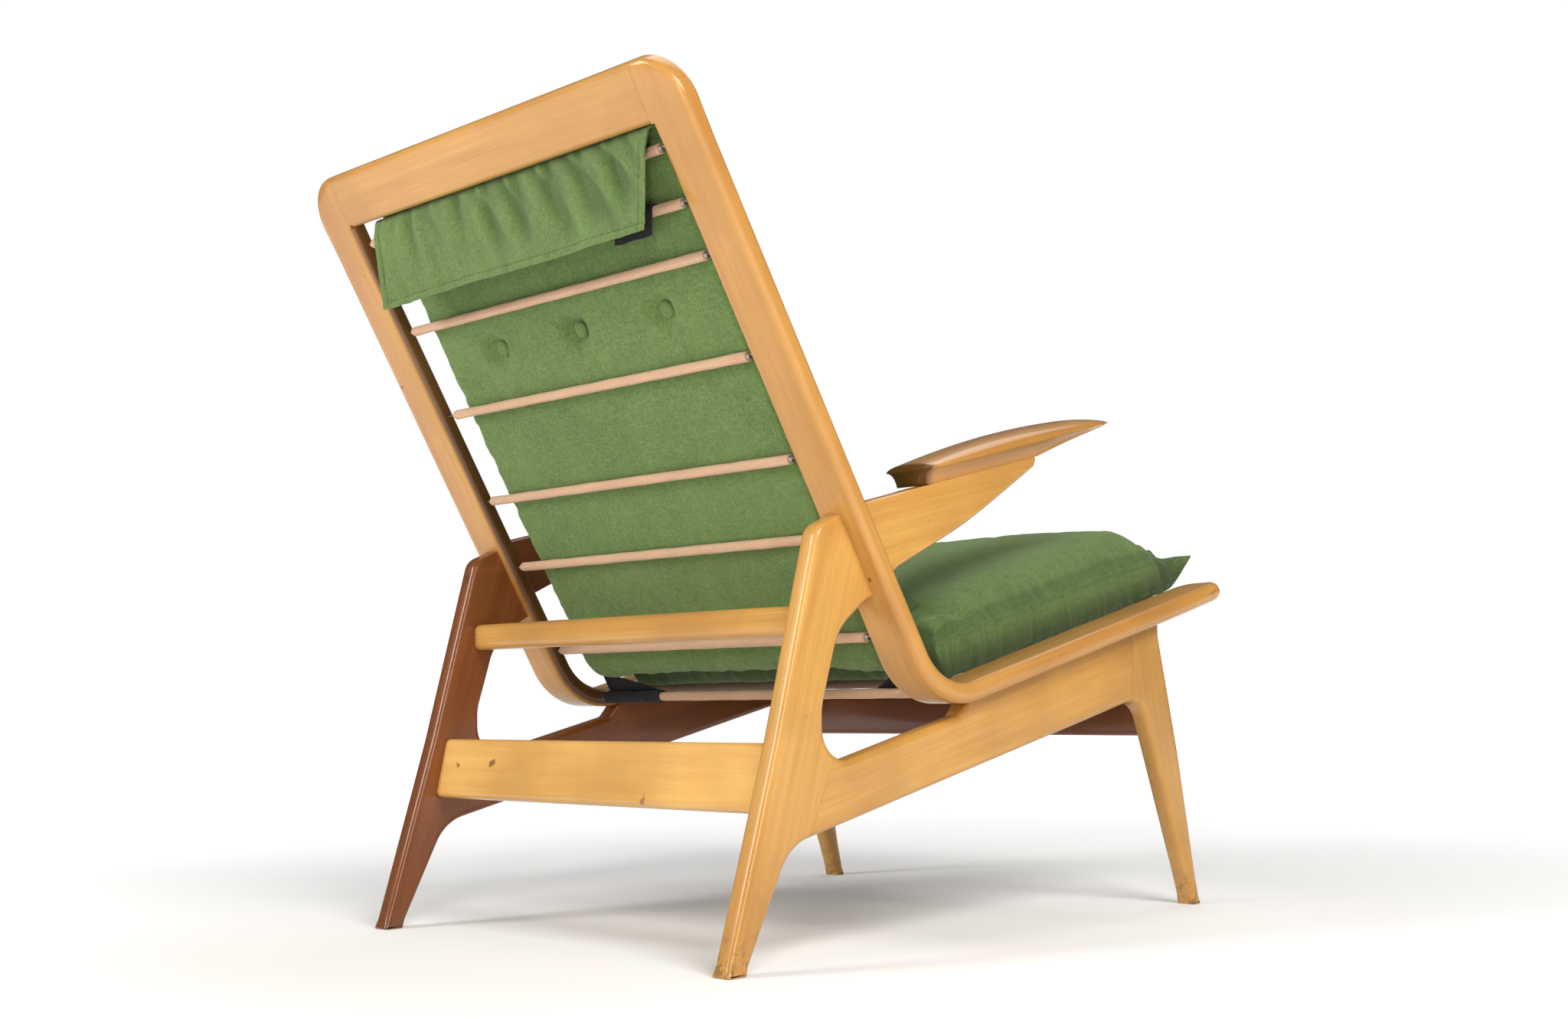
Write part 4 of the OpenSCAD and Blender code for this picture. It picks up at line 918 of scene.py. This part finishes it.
def random_ends(places):
    return [tuple(SLEEVE_GAP + rng.uniform(-0.001, 0.002) for _ in range(2)) for _ in places]


back_ends = random_ends(spring_places)
back_ends[3] = (0.0135, 0.021)
seat_ends = random_ends(seat_places)
for part, places, ends in (("back", spring_places, back_ends), ("seat", seat_places, seat_ends)):
    for i, (p, e) in enumerate(zip(places, ends), 1):
        sleeve_piece("%s_spring_cover_%d" % (part, i), p, "%s_sleeve_%d" % (part, i), *e)
for part, places, ends in (("back", spring_places, back_ends), ("seat", seat_places, seat_ends)):
    spring_ends(part + "_spring_hooks", list(zip(places, ends)), part + "_spring_coils")
for n in nodes:
    if n.endswith("dowels"):
        paint(nodes[n], wood_end)


# Cushions: a closed grid of cloth, blown up and drawn in by its seams and buttons
CW, SHIFT = 0.548, -0.012
BACK_LOW, SEAT_BACK = 0.042, 0.078
SEAT_L, BACK_L = SEAT_LEN - 0.016 - SEAT_BACK, BACK_LEN - BACK_LOW - BACK_LOW
SEAT_T, BACK_T = 0.090, 0.070
SEAT_LOW, SEAT_HIGH = SEAT_T * 0.42, SEAT_T * 0.58
EDGE_RUN, CROWN_SHARE, DRAW, EAR = 0.048, 0.11, 0.007, 0.023
BUTTON_D, PITCH, TUFT, TUFT_RUN = 0.020, 0.154, 0.0135, 0.036
BUTTON_Y = 0.493 - BACK_LOW - BACK_L / 2
buttons = [(i * PITCH, BUTTON_Y) for i in (-1, 0, 1)]
GRID, GRID_EDGE, GRID_GROWTH, FINE_RUN = 0.005, 0.0022, 1.35, 0.03
CLOTH = dict(quality=6, mass=0.25, tension_stiffness=22, compression_stiffness=22, shear_stiffness=9,
             bending_stiffness=0.35, tension_damping=12, compression_damping=12, shear_damping=12,
             bending_damping=0.8, air_damping=6, use_pressure=True, uniform_pressure_force=4.0,
             vertex_group_mass="pin", pin_stiffness=1.0, shrink_min=-0.035, shrink_max=-0.035)
LAST_FRAME = 20


def edge_rise(d, run):
    return np.where(d >= run, 1.0, np.sqrt(np.clip(1 - (1 - np.clip(d, 0, run) / run) ** 2, 0, 1)))


def fine_lines(half):
    """Places across a cushion, closer together near its seams."""
    near = [0.0]
    d = GRID_EDGE
    while near[-1] < FINE_RUN:
        near.append(near[-1] + d)
        d = min(GRID, d * GRID_GROWTH)
    n = max(2, int(round((2 * half - 2 * near[-1]) / GRID)))
    mid = list(np.linspace(near[-1] - half, half - near[-1], n + 1))
    return np.array([v - half for v in near[:-1]] + mid + [half - v for v in near[:-1][::-1]])


def crown_share(u, v):
    return 1 - CROWN_SHARE + CROWN_SHARE * (1 - u * u) * (1 - v * v)


def pillow_mesh(name, l, high, low, low_runs, ears, tufts, both):
    """Gives the object, its points, their flat plan (0 as third value on top) and the seam's points."""
    X, Y = np.meshgrid(fine_lines(CW / 2), fine_lines(l / 2))
    u, v = 2 * X / CW, 2 * Y / l
    ear = np.abs(u * v) ** 30 * np.where(v < 0, *ears)
    px = X - DRAW * np.sign(u) * np.abs(u) ** 7 * (1 - v * v) + np.sign(X) * ear
    py = Y - DRAW * np.sign(v) * np.abs(v) ** 7 * (1 - u * u) + np.sign(Y) * ear
    dip = np.zeros_like(X)
    for bx, by in tufts:
        d = np.hypot(X - bx, Y - by)
        dip = np.maximum(dip, TUFT * np.clip(1 - np.clip(d - BUTTON_D * 0.45, 0, 1) / TUFT_RUN, 0, 1) ** 2)
    dx, dy = CW / 2 - np.abs(X), l / 2 - np.abs(Y)
    s_hi = (edge_rise(dx, EDGE_RUN) * edge_rise(dy, EDGE_RUN)) ** 0.8
    # a cover with ears is pinched at their necks
    neck = np.clip(np.hypot(dx, dy) / 0.055, 0, 1) ** 0.7
    s_hi = np.where((v < 0) & (ears[0] > 0.01), s_hi * neck, s_hi)
    s_lo = edge_rise(dx, low_runs[0]) * edge_rise(dy, low_runs[1])
    zt, zb = (high * crown_share(u, v) - dip) * s_hi, -(low - both * dip) * s_lo
    ids = np.arange(X.size).reshape(X.shape)
    rim = np.ones(X.shape, bool)
    rim[1:-1, 1:-1] = False
    low_ids = ids.copy()
    low_ids[~rim] = X.size + np.arange(np.sum(~rim))
    flat = np.concatenate([np.stack([px, py, zt], -1).reshape(-1, 3), np.stack([px, py, zb], -1)[~rim]])
    top_plan, low_plan = np.stack([X, Y, 0 * X], -1), np.stack([X, Y, 0 * X + 0.7], -1)
    plan = np.concatenate([top_plan.reshape(-1, 3), low_plan[~rim]])
    upper = np.stack([ids[:-1, :-1], ids[:-1, 1:], ids[1:, 1:], ids[1:, :-1]], -1)
    lower = np.stack([low_ids[:-1, :-1], low_ids[1:, :-1], low_ids[1:, 1:], low_ids[:-1, 1:]], -1)
    me = bpy.data.meshes.new(name)
    me.from_pydata(flat.tolist(), [], np.stack([upper, lower], 2).reshape(-1, 4).tolist())
    ob = bpy.data.objects.new(name, me)
    bpy.context.scene.collection.objects.link(ob)
    seam = np.zeros(len(flat), bool)
    seam[:X.size] = rim.reshape(-1)
    return ob, flat, plan, seam


def simulate(ob, flat, G, seam, l, tufts, both, cap, seed):
    """Blows the cover up with its corners and seam held, then keeps each point within cap of its start.
    The buttons hold the cloth only in that second step."""
    # a slack start, so that the cover has cloth to wrinkle with
    start = flat.copy()
    start[:, 2] *= 0.93
    start += np.random.default_rng(seed).normal(0, 0.00035, start.shape)
    put_coords(ob.data, start)
    pins = np.zeros(len(flat))
    corner = (np.abs(G[:, 0]) > CW / 2 - 0.001) & (np.abs(G[:, 1]) > l / 2 - 0.001)
    pins[corner] = 1.0
    pins[seam & ~corner] = 0.35
    group = ob.vertex_groups.new(name="pin")
    for weight in np.unique(pins[pins > 0]):
        group.add([int(i) for i in np.nonzero(pins == weight)[0]], float(weight), "REPLACE")
    mod = ob.modifiers.new("cloth", "CLOTH")
    for key, value in CLOTH.items():
        setattr(mod.settings, key, value)
    mod.settings.effector_weights.gravity = 0
    mod.collision_settings.use_collision = False
    mod.collision_settings.use_self_collision = False
    scene = bpy.context.scene
    scene.frame_start, scene.frame_end = 1, LAST_FRAME
    mod.point_cache.frame_start, mod.point_cache.frame_end = 1, LAST_FRAME
    for frame_no in range(1, LAST_FRAME + 1):
        scene.frame_set(frame_no)
    dg = bpy.context.evaluated_depsgraph_get()
    move = coords(ob.evaluated_get(dg).to_mesh()) - flat
    ob.modifiers.remove(mod)
    scene.frame_set(1)
    size = np.linalg.norm(move, axis=1)
    print("cloth moved", ob.name, "mean %.1f mm, most %.1f mm" % (1000 * size.mean(), 1000 * size.max()))
    keep = np.minimum(1.0, cap * np.tanh(size / cap) / np.maximum(size, 1e-9))
    for bx, by in tufts:
        d = np.hypot(G[:, 0] - bx, G[:, 1] - by)
        keep *= np.where((G[:, 2] == 0) | bool(both), 1 - 0.93 * np.exp(-(d / 0.045) ** 2), 1)
    return flat + move * keep[:, None]


def set_shade(ob, values):
    at = ob.data.attributes.new("shade", "FLOAT", "POINT")
    at.data.foreach_set("value", np.asarray(values, float))


def smooth_noise(P, scale, seed, octaves=2):
    """Cheap smooth noise: a few crossed waves, different for each seed."""
    rg = np.random.default_rng(seed)
    out = np.zeros(len(P))
    for o in range(octaves):
        for _ in range(6):
            k = rg.normal(0, 1, P.shape[1])
            k = k / np.linalg.norm(k) * scale * 2 ** o * rg.uniform(0.6, 1.4)
            out += np.sin(P @ k + rg.uniform(0, 6.3)) / 2 ** o
    return out / (6 * octaves) ** 0.5


def crease(P, a, b, depth, width):
    """Depth field of a soft crease from a to b, in the cushion's flat plan."""
    a, b = np.array(a), np.array(b)
    d = b - a
    t = np.clip(((P - a) @ d) / (d @ d), 0, 1)
    dist = np.linalg.norm(P - a - t[:, None] * d, axis=1)
    env = np.sin(np.pi * np.clip(t, 0.04, 0.96)) ** 0.6
    return -depth * env * np.exp(-(dist / width) ** 2)


def near_edge(d, run):
    """1 at the edge, falling to 0 at run from it."""
    return np.clip(1 - d / run, 0, 1)


def cushion(name, body, l, high, low, low_runs, ears, tufts, both, place_fn, cap, seed, creases):
    """both says that the rear sheet is full and tufted, as the back cushion's is."""
    ob, flat, G, seam = pillow_mesh(name + "_cover", l, high, low, low_runs, ears, tufts, both)
    P = simulate(ob, flat, G, seam, l, tufts, both, cap, seed)
    top = G[:, 2] == 0
    full = top | bool(both)
    up, side = np.where(top, 1.0, -1.0), np.where(top, 0, 1)
    dx, dy = CW / 2 - np.abs(G[:, 0]), l / 2 - np.abs(G[:, 1])
    sx, sy = np.sign(G[:, 0]), np.sign(G[:, 1])
    inset = np.minimum(dx, dy)
    rough = smooth_noise(np.c_[G[:, :2], side * 3.0], 32.0, seed) * 0.0016
    rough += smooth_noise(np.c_[G[:, :2], side * 3.0], 95.0, seed + 1) * 0.0005
    P[:, 2] += up * rough * np.clip(inset / 0.05, 0, 1)
    for a, b, depth, width, face in creases:
        use = top if face > 0 else ~top
        P[use, 2] += face * crease(G[use, :2], a, b, depth, width)
    # pleats that run in from the seams, strongest at the corners
    along_seam = np.where(dx < dy, G[:, 1], G[:, 0] + 2)
    pleat = smooth_noise(np.c_[along_seam, side * 7.0], 260.0, seed + 2, 1)
    P[:, 2] += up * pleat * (np.clip(inset / 0.006, 0, 1) * np.exp(-(inset / 0.026) ** 2)) * 0.0016
    # a raised seam line
    out = np.stack([sx * (dx <= inset + 1e-6), sy * (dy <= inset + 1e-6)], 1)
    welt = 0.0022 * np.exp(-(inset / 0.0012) ** 2) - 0.0016 * np.exp(-((inset - 0.006) / 0.0032) ** 2)
    P[:, :2] += out * welt[:, None]
    for bx, by in tufts:
        d = np.hypot(G[:, 0] - bx, G[:, 1] - by)
        ang = np.arctan2(G[:, 1] - by, G[:, 0] - bx)
        ray = np.cos(ang * 7 + 1.3 * bx * 50 + (0 if both else 1)) * 0.6 + np.cos(ang * 4 + bx * 31) * 0.6
        env = np.clip((d - 0.008) / 0.01, 0, 1) * np.exp(-(d / 0.036) ** 2)
        P[full, 2] += (up * ray * env * 0.0024)[full]
    bulge = (0.013 if both else 0.009) * near_edge(dx, 0.06) ** 0.5 * np.clip(dy / 0.05, 0, 1) ** 0.5
    P[:, 0] += sx * bulge * np.where(full, 1.0, 0.5)
    if both:
        # the back cushion's rear hangs a little lower than its seam
        droop = 0.010 * near_edge(G[:, 1] + l / 2, 0.07) ** 0.7 * np.clip(dx / 0.03, 0, 1)
        P[:, 1] -= droop * np.clip(0.35 - P[:, 2] / 0.03, 0, 1)
    else:
        # cloth under the seat's edge doesn't rise off the springs
        P[:, 2] = np.where(top, P[:, 2], np.minimum(P[:, 2], flat[:, 2] + 0.0012))
    P[:, 2] = np.clip(P[:, 2], -low + 0.0002, high * 1.05 + 0.004)
    if not both:
        # the seat's lower edge isn't drawn in, and fills the room beside the plank
        P[:, 0] += sx * DRAW * near_edge(dx, 0.04) * (1 - (2 * G[:, 1] / l) ** 2) * ~top
        # past the springs' ends the side's lower edge hangs down a little beside the plank
        P[:, 2] -= 0.0014 * ~top * np.clip((np.abs(P[:, 0] + SHIFT) - 0.2825) / 0.003, 0, 1)
    world = place_fn(P)
    between = REST + low + P[:, 2] < PLANK_T + 0.002
    xlim = np.where(between, INNER_X - 0.003, SHELL_W / 2 - 0.03)
    world[:, 0] = np.clip(world[:, 0], -xlim, xlim)
    put_coords(ob.data, world)
    bm = bmesh.new()
    bm.from_mesh(ob.data)
    bmesh.ops.recalc_face_normals(bm, faces=bm.faces)
    bm.to_mesh(ob.data)
    bm.free()
    set_grain(ob, G)
    # painted shade: the seat's underside, the seam line, the ears' neck creases and the top's rim are
    # darkened through the shade attribute
    shade = 0.74 * ~full + 0.45 * np.exp(-((inset - 0.004) / 0.003) ** 2)
    if not both:
        neck = np.hypot(dx, l / 2 + G[:, 1])
        shade += 0.95 * np.exp(-((neck - 0.024) / 0.013) ** 2) * np.clip(1 - np.abs(pleat) * 0.45, 0.4, 1)
        shade += 0.25 * near_edge(inset, 0.05) * top
    set_shade(ob, np.clip(shade, 0, 0.92))
    finish_mesh(ob, 180)
    mod = ob.modifiers.new("smooth", "SUBSURF")
    mod.levels = mod.render_levels = 1
    attach(ob, weave if both else seat_weave_painted_shade, body, "green_weave", name)


def seat_place(P):
    points = zip(SEAT_BACK + SEAT_L / 2 - P[:, 1], REST + SEAT_LOW + P[:, 2])
    return np.c_[P[:, 0] + SHIFT, np.array([seat_pt(a, o) for a, o in points])]


def back_place(P):
    points = zip(BACK_LOW + BACK_L / 2 + P[:, 1], REST + BACK_T / 2 + P[:, 2])
    return np.c_[P[:, 0] + SHIFT, np.array([back_pt(a, o) for a, o in points])]


# Creases: start and end in the cushion's flat plan, depth, width, and 1 on its top or -1 below
SEAT_CREASES = (
    ((-0.274, -0.200), (-0.246, -0.226), 0.010, 0.005, 1),
    ((-0.262, -0.160), (-0.200, -0.222), 0.007, 0.007, 1),
    ((-0.274, -0.200), (-0.246, -0.226), 0.008, 0.005, -1),
    ((-0.258, -0.206), (-0.236, -0.172), 0.006, 0.005, 1),
    ((-0.268, -0.180), (-0.222, -0.220), 0.012, 0.009, 1),
    ((-0.270, -0.150), (-0.236, -0.190), 0.006, 0.008, 1),
    ((-0.268, -0.180), (-0.228, -0.220), 0.010, 0.009, -1),
    ((-0.272, -0.05), (-0.235, -0.055), 0.006, 0.006, -1),
    ((-0.268, 0.165), (-0.230, 0.215), 0.008, 0.008, 1),
    ((-0.230, -0.19), (-0.205, -0.11), 0.003, 0.008, 1),
    ((0.1, -0.21), (0.12, -0.15), 0.003, 0.008, 1),
    ((-0.05, -0.215), (-0.04, -0.16), 0.0025, 0.008, 1))
BACK_CREASES = (
    ((-0.19, 0.128), (-0.115, 0.128), 0.0035, 0.006, -1), ((-0.04, 0.13), (0.035, 0.127), 0.0035, 0.006, -1),
    ((0.12, 0.127), (0.19, 0.13), 0.0035, 0.006, -1))
cushion("seat_cushion", "loose_seat", SEAT_L, SEAT_HIGH, SEAT_LOW, (0.006, 0.016), (EAR, EAR * 0.24), (), 0,
        seat_place, 0.013, 11, SEAT_CREASES)
cushion("back_cushion", "chair_frame", BACK_L, BACK_T / 2, BACK_T / 2, (0.038, 0.038),
        (EAR * 0.24, EAR * 0.24), buttons, 1, back_place, 0.016, 23, BACK_CREASES)


# Buttons covered in the cushion's cloth: shares of the radius, and heights over the cushion
BUTTON_RINGS = ((0.0004, 0.0), (0.45, 0.0), (0.96, 0.0005), (1.0, 0.0022), (0.97, 0.0038), (0.86, 0.0052),
                (0.66, 0.0062), (0.4, 0.0068), (0.15, 0.0070))


def button_piece():
    n, rows = 32, len(BUTTON_RINGS)
    points, faces, grain = [], [], []
    for bx, by in buttons:
        for side in (1, -1):
            crown = crown_share(2 * bx / CW, 2 * by / BACK_L) if side > 0 else 1
            z0 = BACK_T / 2 * crown - TUFT + 0.0012
            faces += grid_faces(rows, n, base=len(points)) + end_faces(rows, n, len(points))
            for share, height in BUTTON_RINGS:
                for i in range(n):
                    a = 2 * pi * i / n
                    r = BUTTON_D / 2 * share * (1 + 0.012 * cos(9 * a) * (share > 0.8))
                    points.append((bx + r * cos(a), by + r * sin(a), side * (z0 + height * 0.8)))
                    grain.append((r * cos(a) + bx * 2, r * sin(a), 0.3))
    ob = make("covered_buttons", back_place(np.array(points)), faces, np.array(grain), sharp=180)
    attach(ob, weave, "chair_frame", "green_weave", "cushion_buttons")


button_piece()

# Flap: one cloth from the cushion, over the top spring, down to its hem
top_spring = spring_places[0]
CLOTH_T, FLAP_W, TAPER, FLAP_DROP = 0.003, 0.526, 0.015, 0.090
fold_r = SLEEVE_D / 2 + 0.0003 + CLOTH_T / 2 + 0.0003
hinge = top_spring + [fold_r - 0.0003, -CLOTH_T / 2 - 0.0006]


def ring_path(place, r, a0, a1, n=22):
    return [place + r * np.array([cos(a), sin(a)]) for a in np.linspace(a0, a1, n)]


def thickened(ob, thickness):
    """Gives a sheet its thickness."""
    mod = ob.modifiers.new("thick", "SOLIDIFY")
    mod.thickness = thickness
    mod.offset = 0.0
    me = bpy.data.meshes.new_from_object(ob.evaluated_get(bpy.context.evaluated_depsgraph_get()))
    ob.modifiers.clear()
    ob.data = me
    me.name = ob.name
    return ob


def flap_path():
    """Side view of the flap: out of the cushion's rear, over the spring, straight down."""
    pts = [back_pt(0.667, REST + 0.010), back_pt(0.6685, REST + 0.004), back_pt(0.6725, REST - 0.0006)]
    pts += ring_path(top_spring + [0, 0.0160], fold_r, radians(118), 0, 12)
    pts += [np.array([hinge[0], z]) for z in np.linspace(top_spring[1] + 0.004, hinge[1] - FLAP_DROP, 26)]
    P = np.array(pts)
    d = np.r_[0, np.cumsum(np.linalg.norm(np.diff(P, axis=0), axis=1))]
    s = np.linspace(0, d[-1], 74)
    return np.c_[np.interp(s, d, P[:, 0]), np.interp(s, d, P[:, 1])], s


# Folds of the flap: place across it at the fold and at the hem, depth and width
FLAP_FOLDS = (
    (0.190, 0.172, 0.0030, 0.020), (0.098, 0.052, 0.0050, 0.020), (0.040, 0.000, 0.0056, 0.018),
    (-0.018, -0.062, 0.0070, 0.020), (-0.074, -0.128, 0.0078, 0.021), (-0.134, -0.186, 0.0080, 0.020),
    (-0.188, -0.232, 0.0060, 0.016))


def flap_piece():
    path, s = flap_path()
    n = 261
    us = np.linspace(-1, 1, n)
    s_top, length = s[np.argmax(path[:, 1])], s[-1]
    edge_in = (1 - np.abs(us)) * FLAP_W / 2
    calm = np.clip(edge_in / 0.045, 0, 1)
    verts, grain, shade = [], [], []
    for p, sk in zip(path, s):
        t = float(np.clip((sk - s_top) / (length - s_top), 0, 1))
        x = SHIFT + us * (FLAP_W / 2 - TAPER * t)
        X = x - SHIFT
        level = 0.0085 * np.interp(t, [0, 0.06, 0.25, 0.6, 1], [0, 0.5, 1, 0.75, 0.3])
        relief = np.full(n, level)
        for x_top, x_hem, depth, width in FLAP_FOLDS:
            q = (X - x_top - (x_hem - x_top) * t ** 0.8) / (width * (0.55 + 0.9 * t))
            q = q + 0.35 * q * q * (q < 0)
            deep = depth * min(1, 9 * t) * exp(-((t - 0.32) / 0.40) ** 2)
            relief -= calm * deep * (1 - 1.2 * q * q) * np.exp(-q * q)
        slant = smooth_noise(np.c_[X + 0.42 * sk, np.full(n, 0.22 * sk)], 150.0, 9)
        relief += calm * 0.0022 * slant * min(1, 5 * t) * (1 - 0.45 * t)
        fuzz = 0.0006 * smooth_noise(np.c_[X, np.full(n, sk)], 55.0, 3) * min(1, t * 5)
        hem = 0.0007 * (sk > length - 0.008) + 0.0007 * (edge_in < 0.009)
        stitch = -0.0007 * (abs(sk - (length - 0.0085)) < 0.0013)
        stitch = stitch - 0.0007 * (np.abs(edge_in - 0.0095) < 0.0013)
        d = (relief + fuzz + hem + stitch) * (1 if sk > s_top else min(1, max(0, sk / s_top)))
        d = np.maximum(-0.0008, d) if t > 0 else 0.3 * d
        sag = t * (0.007 - 0.003 * us) + 0.0006 * t * np.sin(X * 23)
        verts += list(zip(x, p[0] + d, p[1] + sag))
        grain += [(v, sk + 0.35, 0.0) for v in X]
        # painted shade: darker in the folds' valleys and on the cloth from the cushion up over the spring,
        # under the crest rail; the stitch lines are darker too
        dark = np.clip((level - relief) / 0.011, 0, 0.5) * min(1, 12 * t)
        shade.append(dark + 0.35 * (stitch < 0) + (t == 0) * 0.7)
    ob = make("back_flap_cloth", verts, grid_faces(len(s), n, False), np.array(grain), sharp=180)
    set_shade(ob, np.concatenate(shade))
    finish_mesh(thickened(ob, 0.0021), 60)
    paint(ob, weave)
    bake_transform(ob)
    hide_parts("flap_fold", "back_flap")


flap_piece()

# Black tape ties: bands round a spring, with strips
off_dir = np.array([-cos(LEAN), sin(LEAN)])
up_dir = np.array([sin(LEAN), cos(LEAN)])


def tape_strip(name, node, x0, x1, path, strip_rows=0, slope=0.0):
    """The first strip_rows rows are a strip that gets shorter towards the chair's middle by slope."""
    n = max(6, int((x1 - x0) / 0.004))
    P = np.array(path)
    d = np.r_[0, np.cumsum(np.linalg.norm(np.diff(P, axis=0), axis=1))]
    s = np.linspace(0, d[-1], max(12, int(d[-1] / 0.0022)))
    strip_end = d[strip_rows] if strip_rows else 0.0
    verts, grain = [], []
    for sk, q0 in zip(s, np.c_[np.interp(s, d, P[:, 0]), np.interp(s, d, P[:, 1])]):
        for i in range(n + 1):
            x = x0 + (x1 - x0) * i / n
            inward = min(1.0, slope * (max(abs(x0), abs(x1)) - abs(x)) / (x1 - x0))
            q = q0 - up_dir * max(0.0, strip_end - sk) * inward
            w = 0.0004 * sin(x * 170 + sk * 90) + 0.0003 * sin(x * 70 - sk * 140)
            verts.append((x, q[0] + w * 0.5, q[1] + w))
            grain.append((x, sk, 0))
    ob = make(name, verts, grid_faces(len(s), n + 1, False), np.array(grain), sharp=180)
    finish_mesh(thickened(ob, 0.0013), 60)
    attach(ob, tape, "chair_frame", "black_tape", node)


tie_r = SLEEVE_D / 2 + 0.0003 + 0.001
tie_end = INNER_X - SLEEVE_GAP - 0.002
low_spring, second_spring = spring_places[7], spring_places[1]
low_along = float((low_spring - [KNEE_Y, KNEE_H]) @ up_dir)
strip_z = np.linspace(0.040 - low_along, 0.004, 12)
strip = [low_spring + off_dir * (tie_r - 0.0002) + up_dir * z for z in strip_z]
back_a = math.atan2(off_dir[1], off_dir[0])
loop = ring_path(low_spring, tie_r, back_a, back_a + 2 * pi * 0.97)
behind = ring_path(low_spring, tie_r, back_a, back_a + 1.2, 8)
tape_strip("lower_tie_left", "lower_ties", tie_end - 0.112, tie_end, strip + loop, 12, 0.9)
tape_strip("lower_tie_right", "lower_ties", -tie_end, -tie_end + 0.058, strip + behind, 12, 0.9)
ring = ring_path(second_spring, tie_r, radians(181.2), 0, 18)
hang = [second_spring + np.array([tie_r - 0.0002, -z]) for z in np.linspace(0.001, 0.027, 8)]
tape_strip("flap_tie_tape", "flap_tie", -0.202 - 0.031, -0.202 + 0.031, ring + hang)

# Pale studio
floor_me = bpy.data.meshes.new("floor")
floor_me.from_pydata([(-9, -9, 0), (9, -9, 0), (9, 9, 0), (-9, 9, 0)], [], [(0, 1, 2, 3)])
floor = bpy.data.objects.new("floor", floor_me)
bpy.context.scene.collection.objects.link(floor)
floor_mat, g, surface = new_material("pale_floor")
# painted light: the floor glows, faintly near the chair and fully white far from it
far_out = g.node("VectorMath", {0: g.place()}, operation="LENGTH").outputs["Value"]
g.feed(surface, {"Base Color": (0.90, 0.90, 0.90), "Emission Color": (1, 1, 1),
                 "Emission Strength": g.remap(far_out, 0.7, 3.2, 0.10, 1.0), "Roughness": 0.9,
                 "Specular IOR Level": 0.1})
paint(floor, floor_mat)

world = bpy.data.worlds.new("pale_room")
bpy.context.scene.world = world
world.use_nodes = True
g = Graph(world.node_tree)
seen = g.node("LightPath").outputs["Is Camera Ray"]
g.feed(world.node_tree.nodes["Background"], {0: (1, 1, 1), 1: g.calc("MULTIPLY_ADD", seen, 0.90, 0.12)})
bpy.context.scene.view_settings.view_transform = "Standard"


def area_light(name, loc, target, size, energy, color=(1, 1, 1)):
    li = bpy.data.lights.new(name, "AREA")
    li.shape = "RECTANGLE"
    li.size, li.size_y = size
    li.energy = energy
    li.color = color
    ob = bpy.data.objects.new(name, li)
    bpy.context.scene.collection.objects.link(ob)
    ob.location = loc
    ob.rotation_euler = (Vector(target) - Vector(loc)).to_track_quat("-Z", "Y").to_euler()


area_light("key_left", (-2.9, 0.9, 2.5), (0, 0.05, 0.4), (1.5, 1.5), 105, (1, 0.98, 0.94))
area_light("edge_strip", (-2.3, 2.5, 1.1), (0, 0.1, 0.4), (0.35, 1.5), 32, (1, 0.99, 0.96))
area_light("fill_rear", (1.5, 3.2, 2.0), (0, 0, 0.45), (1.3, 1.3), 68, (1, 0.98, 0.95))
area_light("top_soft", (0.3, -0.9, 3.0), (0, 0, 0.4), (2.0, 2.0), 28)

# Camera at the photo's angle
yaw, pitch, roll = 0.8270, 0.0810, -0.0256
d = Vector((cos(pitch) * sin(yaw), -cos(pitch) * cos(yaw), sin(pitch)))
r = d.cross(Vector((0, 0, 1))).normalized()
u = r.cross(d)
r2 = cos(roll) * r + sin(roll) * u
u2 = -sin(roll) * r + cos(roll) * u
cam_data = bpy.data.cameras.new("photo_camera")
cam_data.sensor_width, cam_data.lens = 36, 45.907
cam_data.clip_start, cam_data.clip_end = 0.05, 60
cam = bpy.data.objects.new("photo_camera", cam_data)
bpy.context.scene.collection.objects.link(cam)
M = Matrix((r2, u2, -d)).transposed().to_4x4()
M.translation = Vector((-1.8166, 1.5685 + KNEE_Y, 0.2962))
cam.matrix_world = M
bpy.context.scene.camera = cam
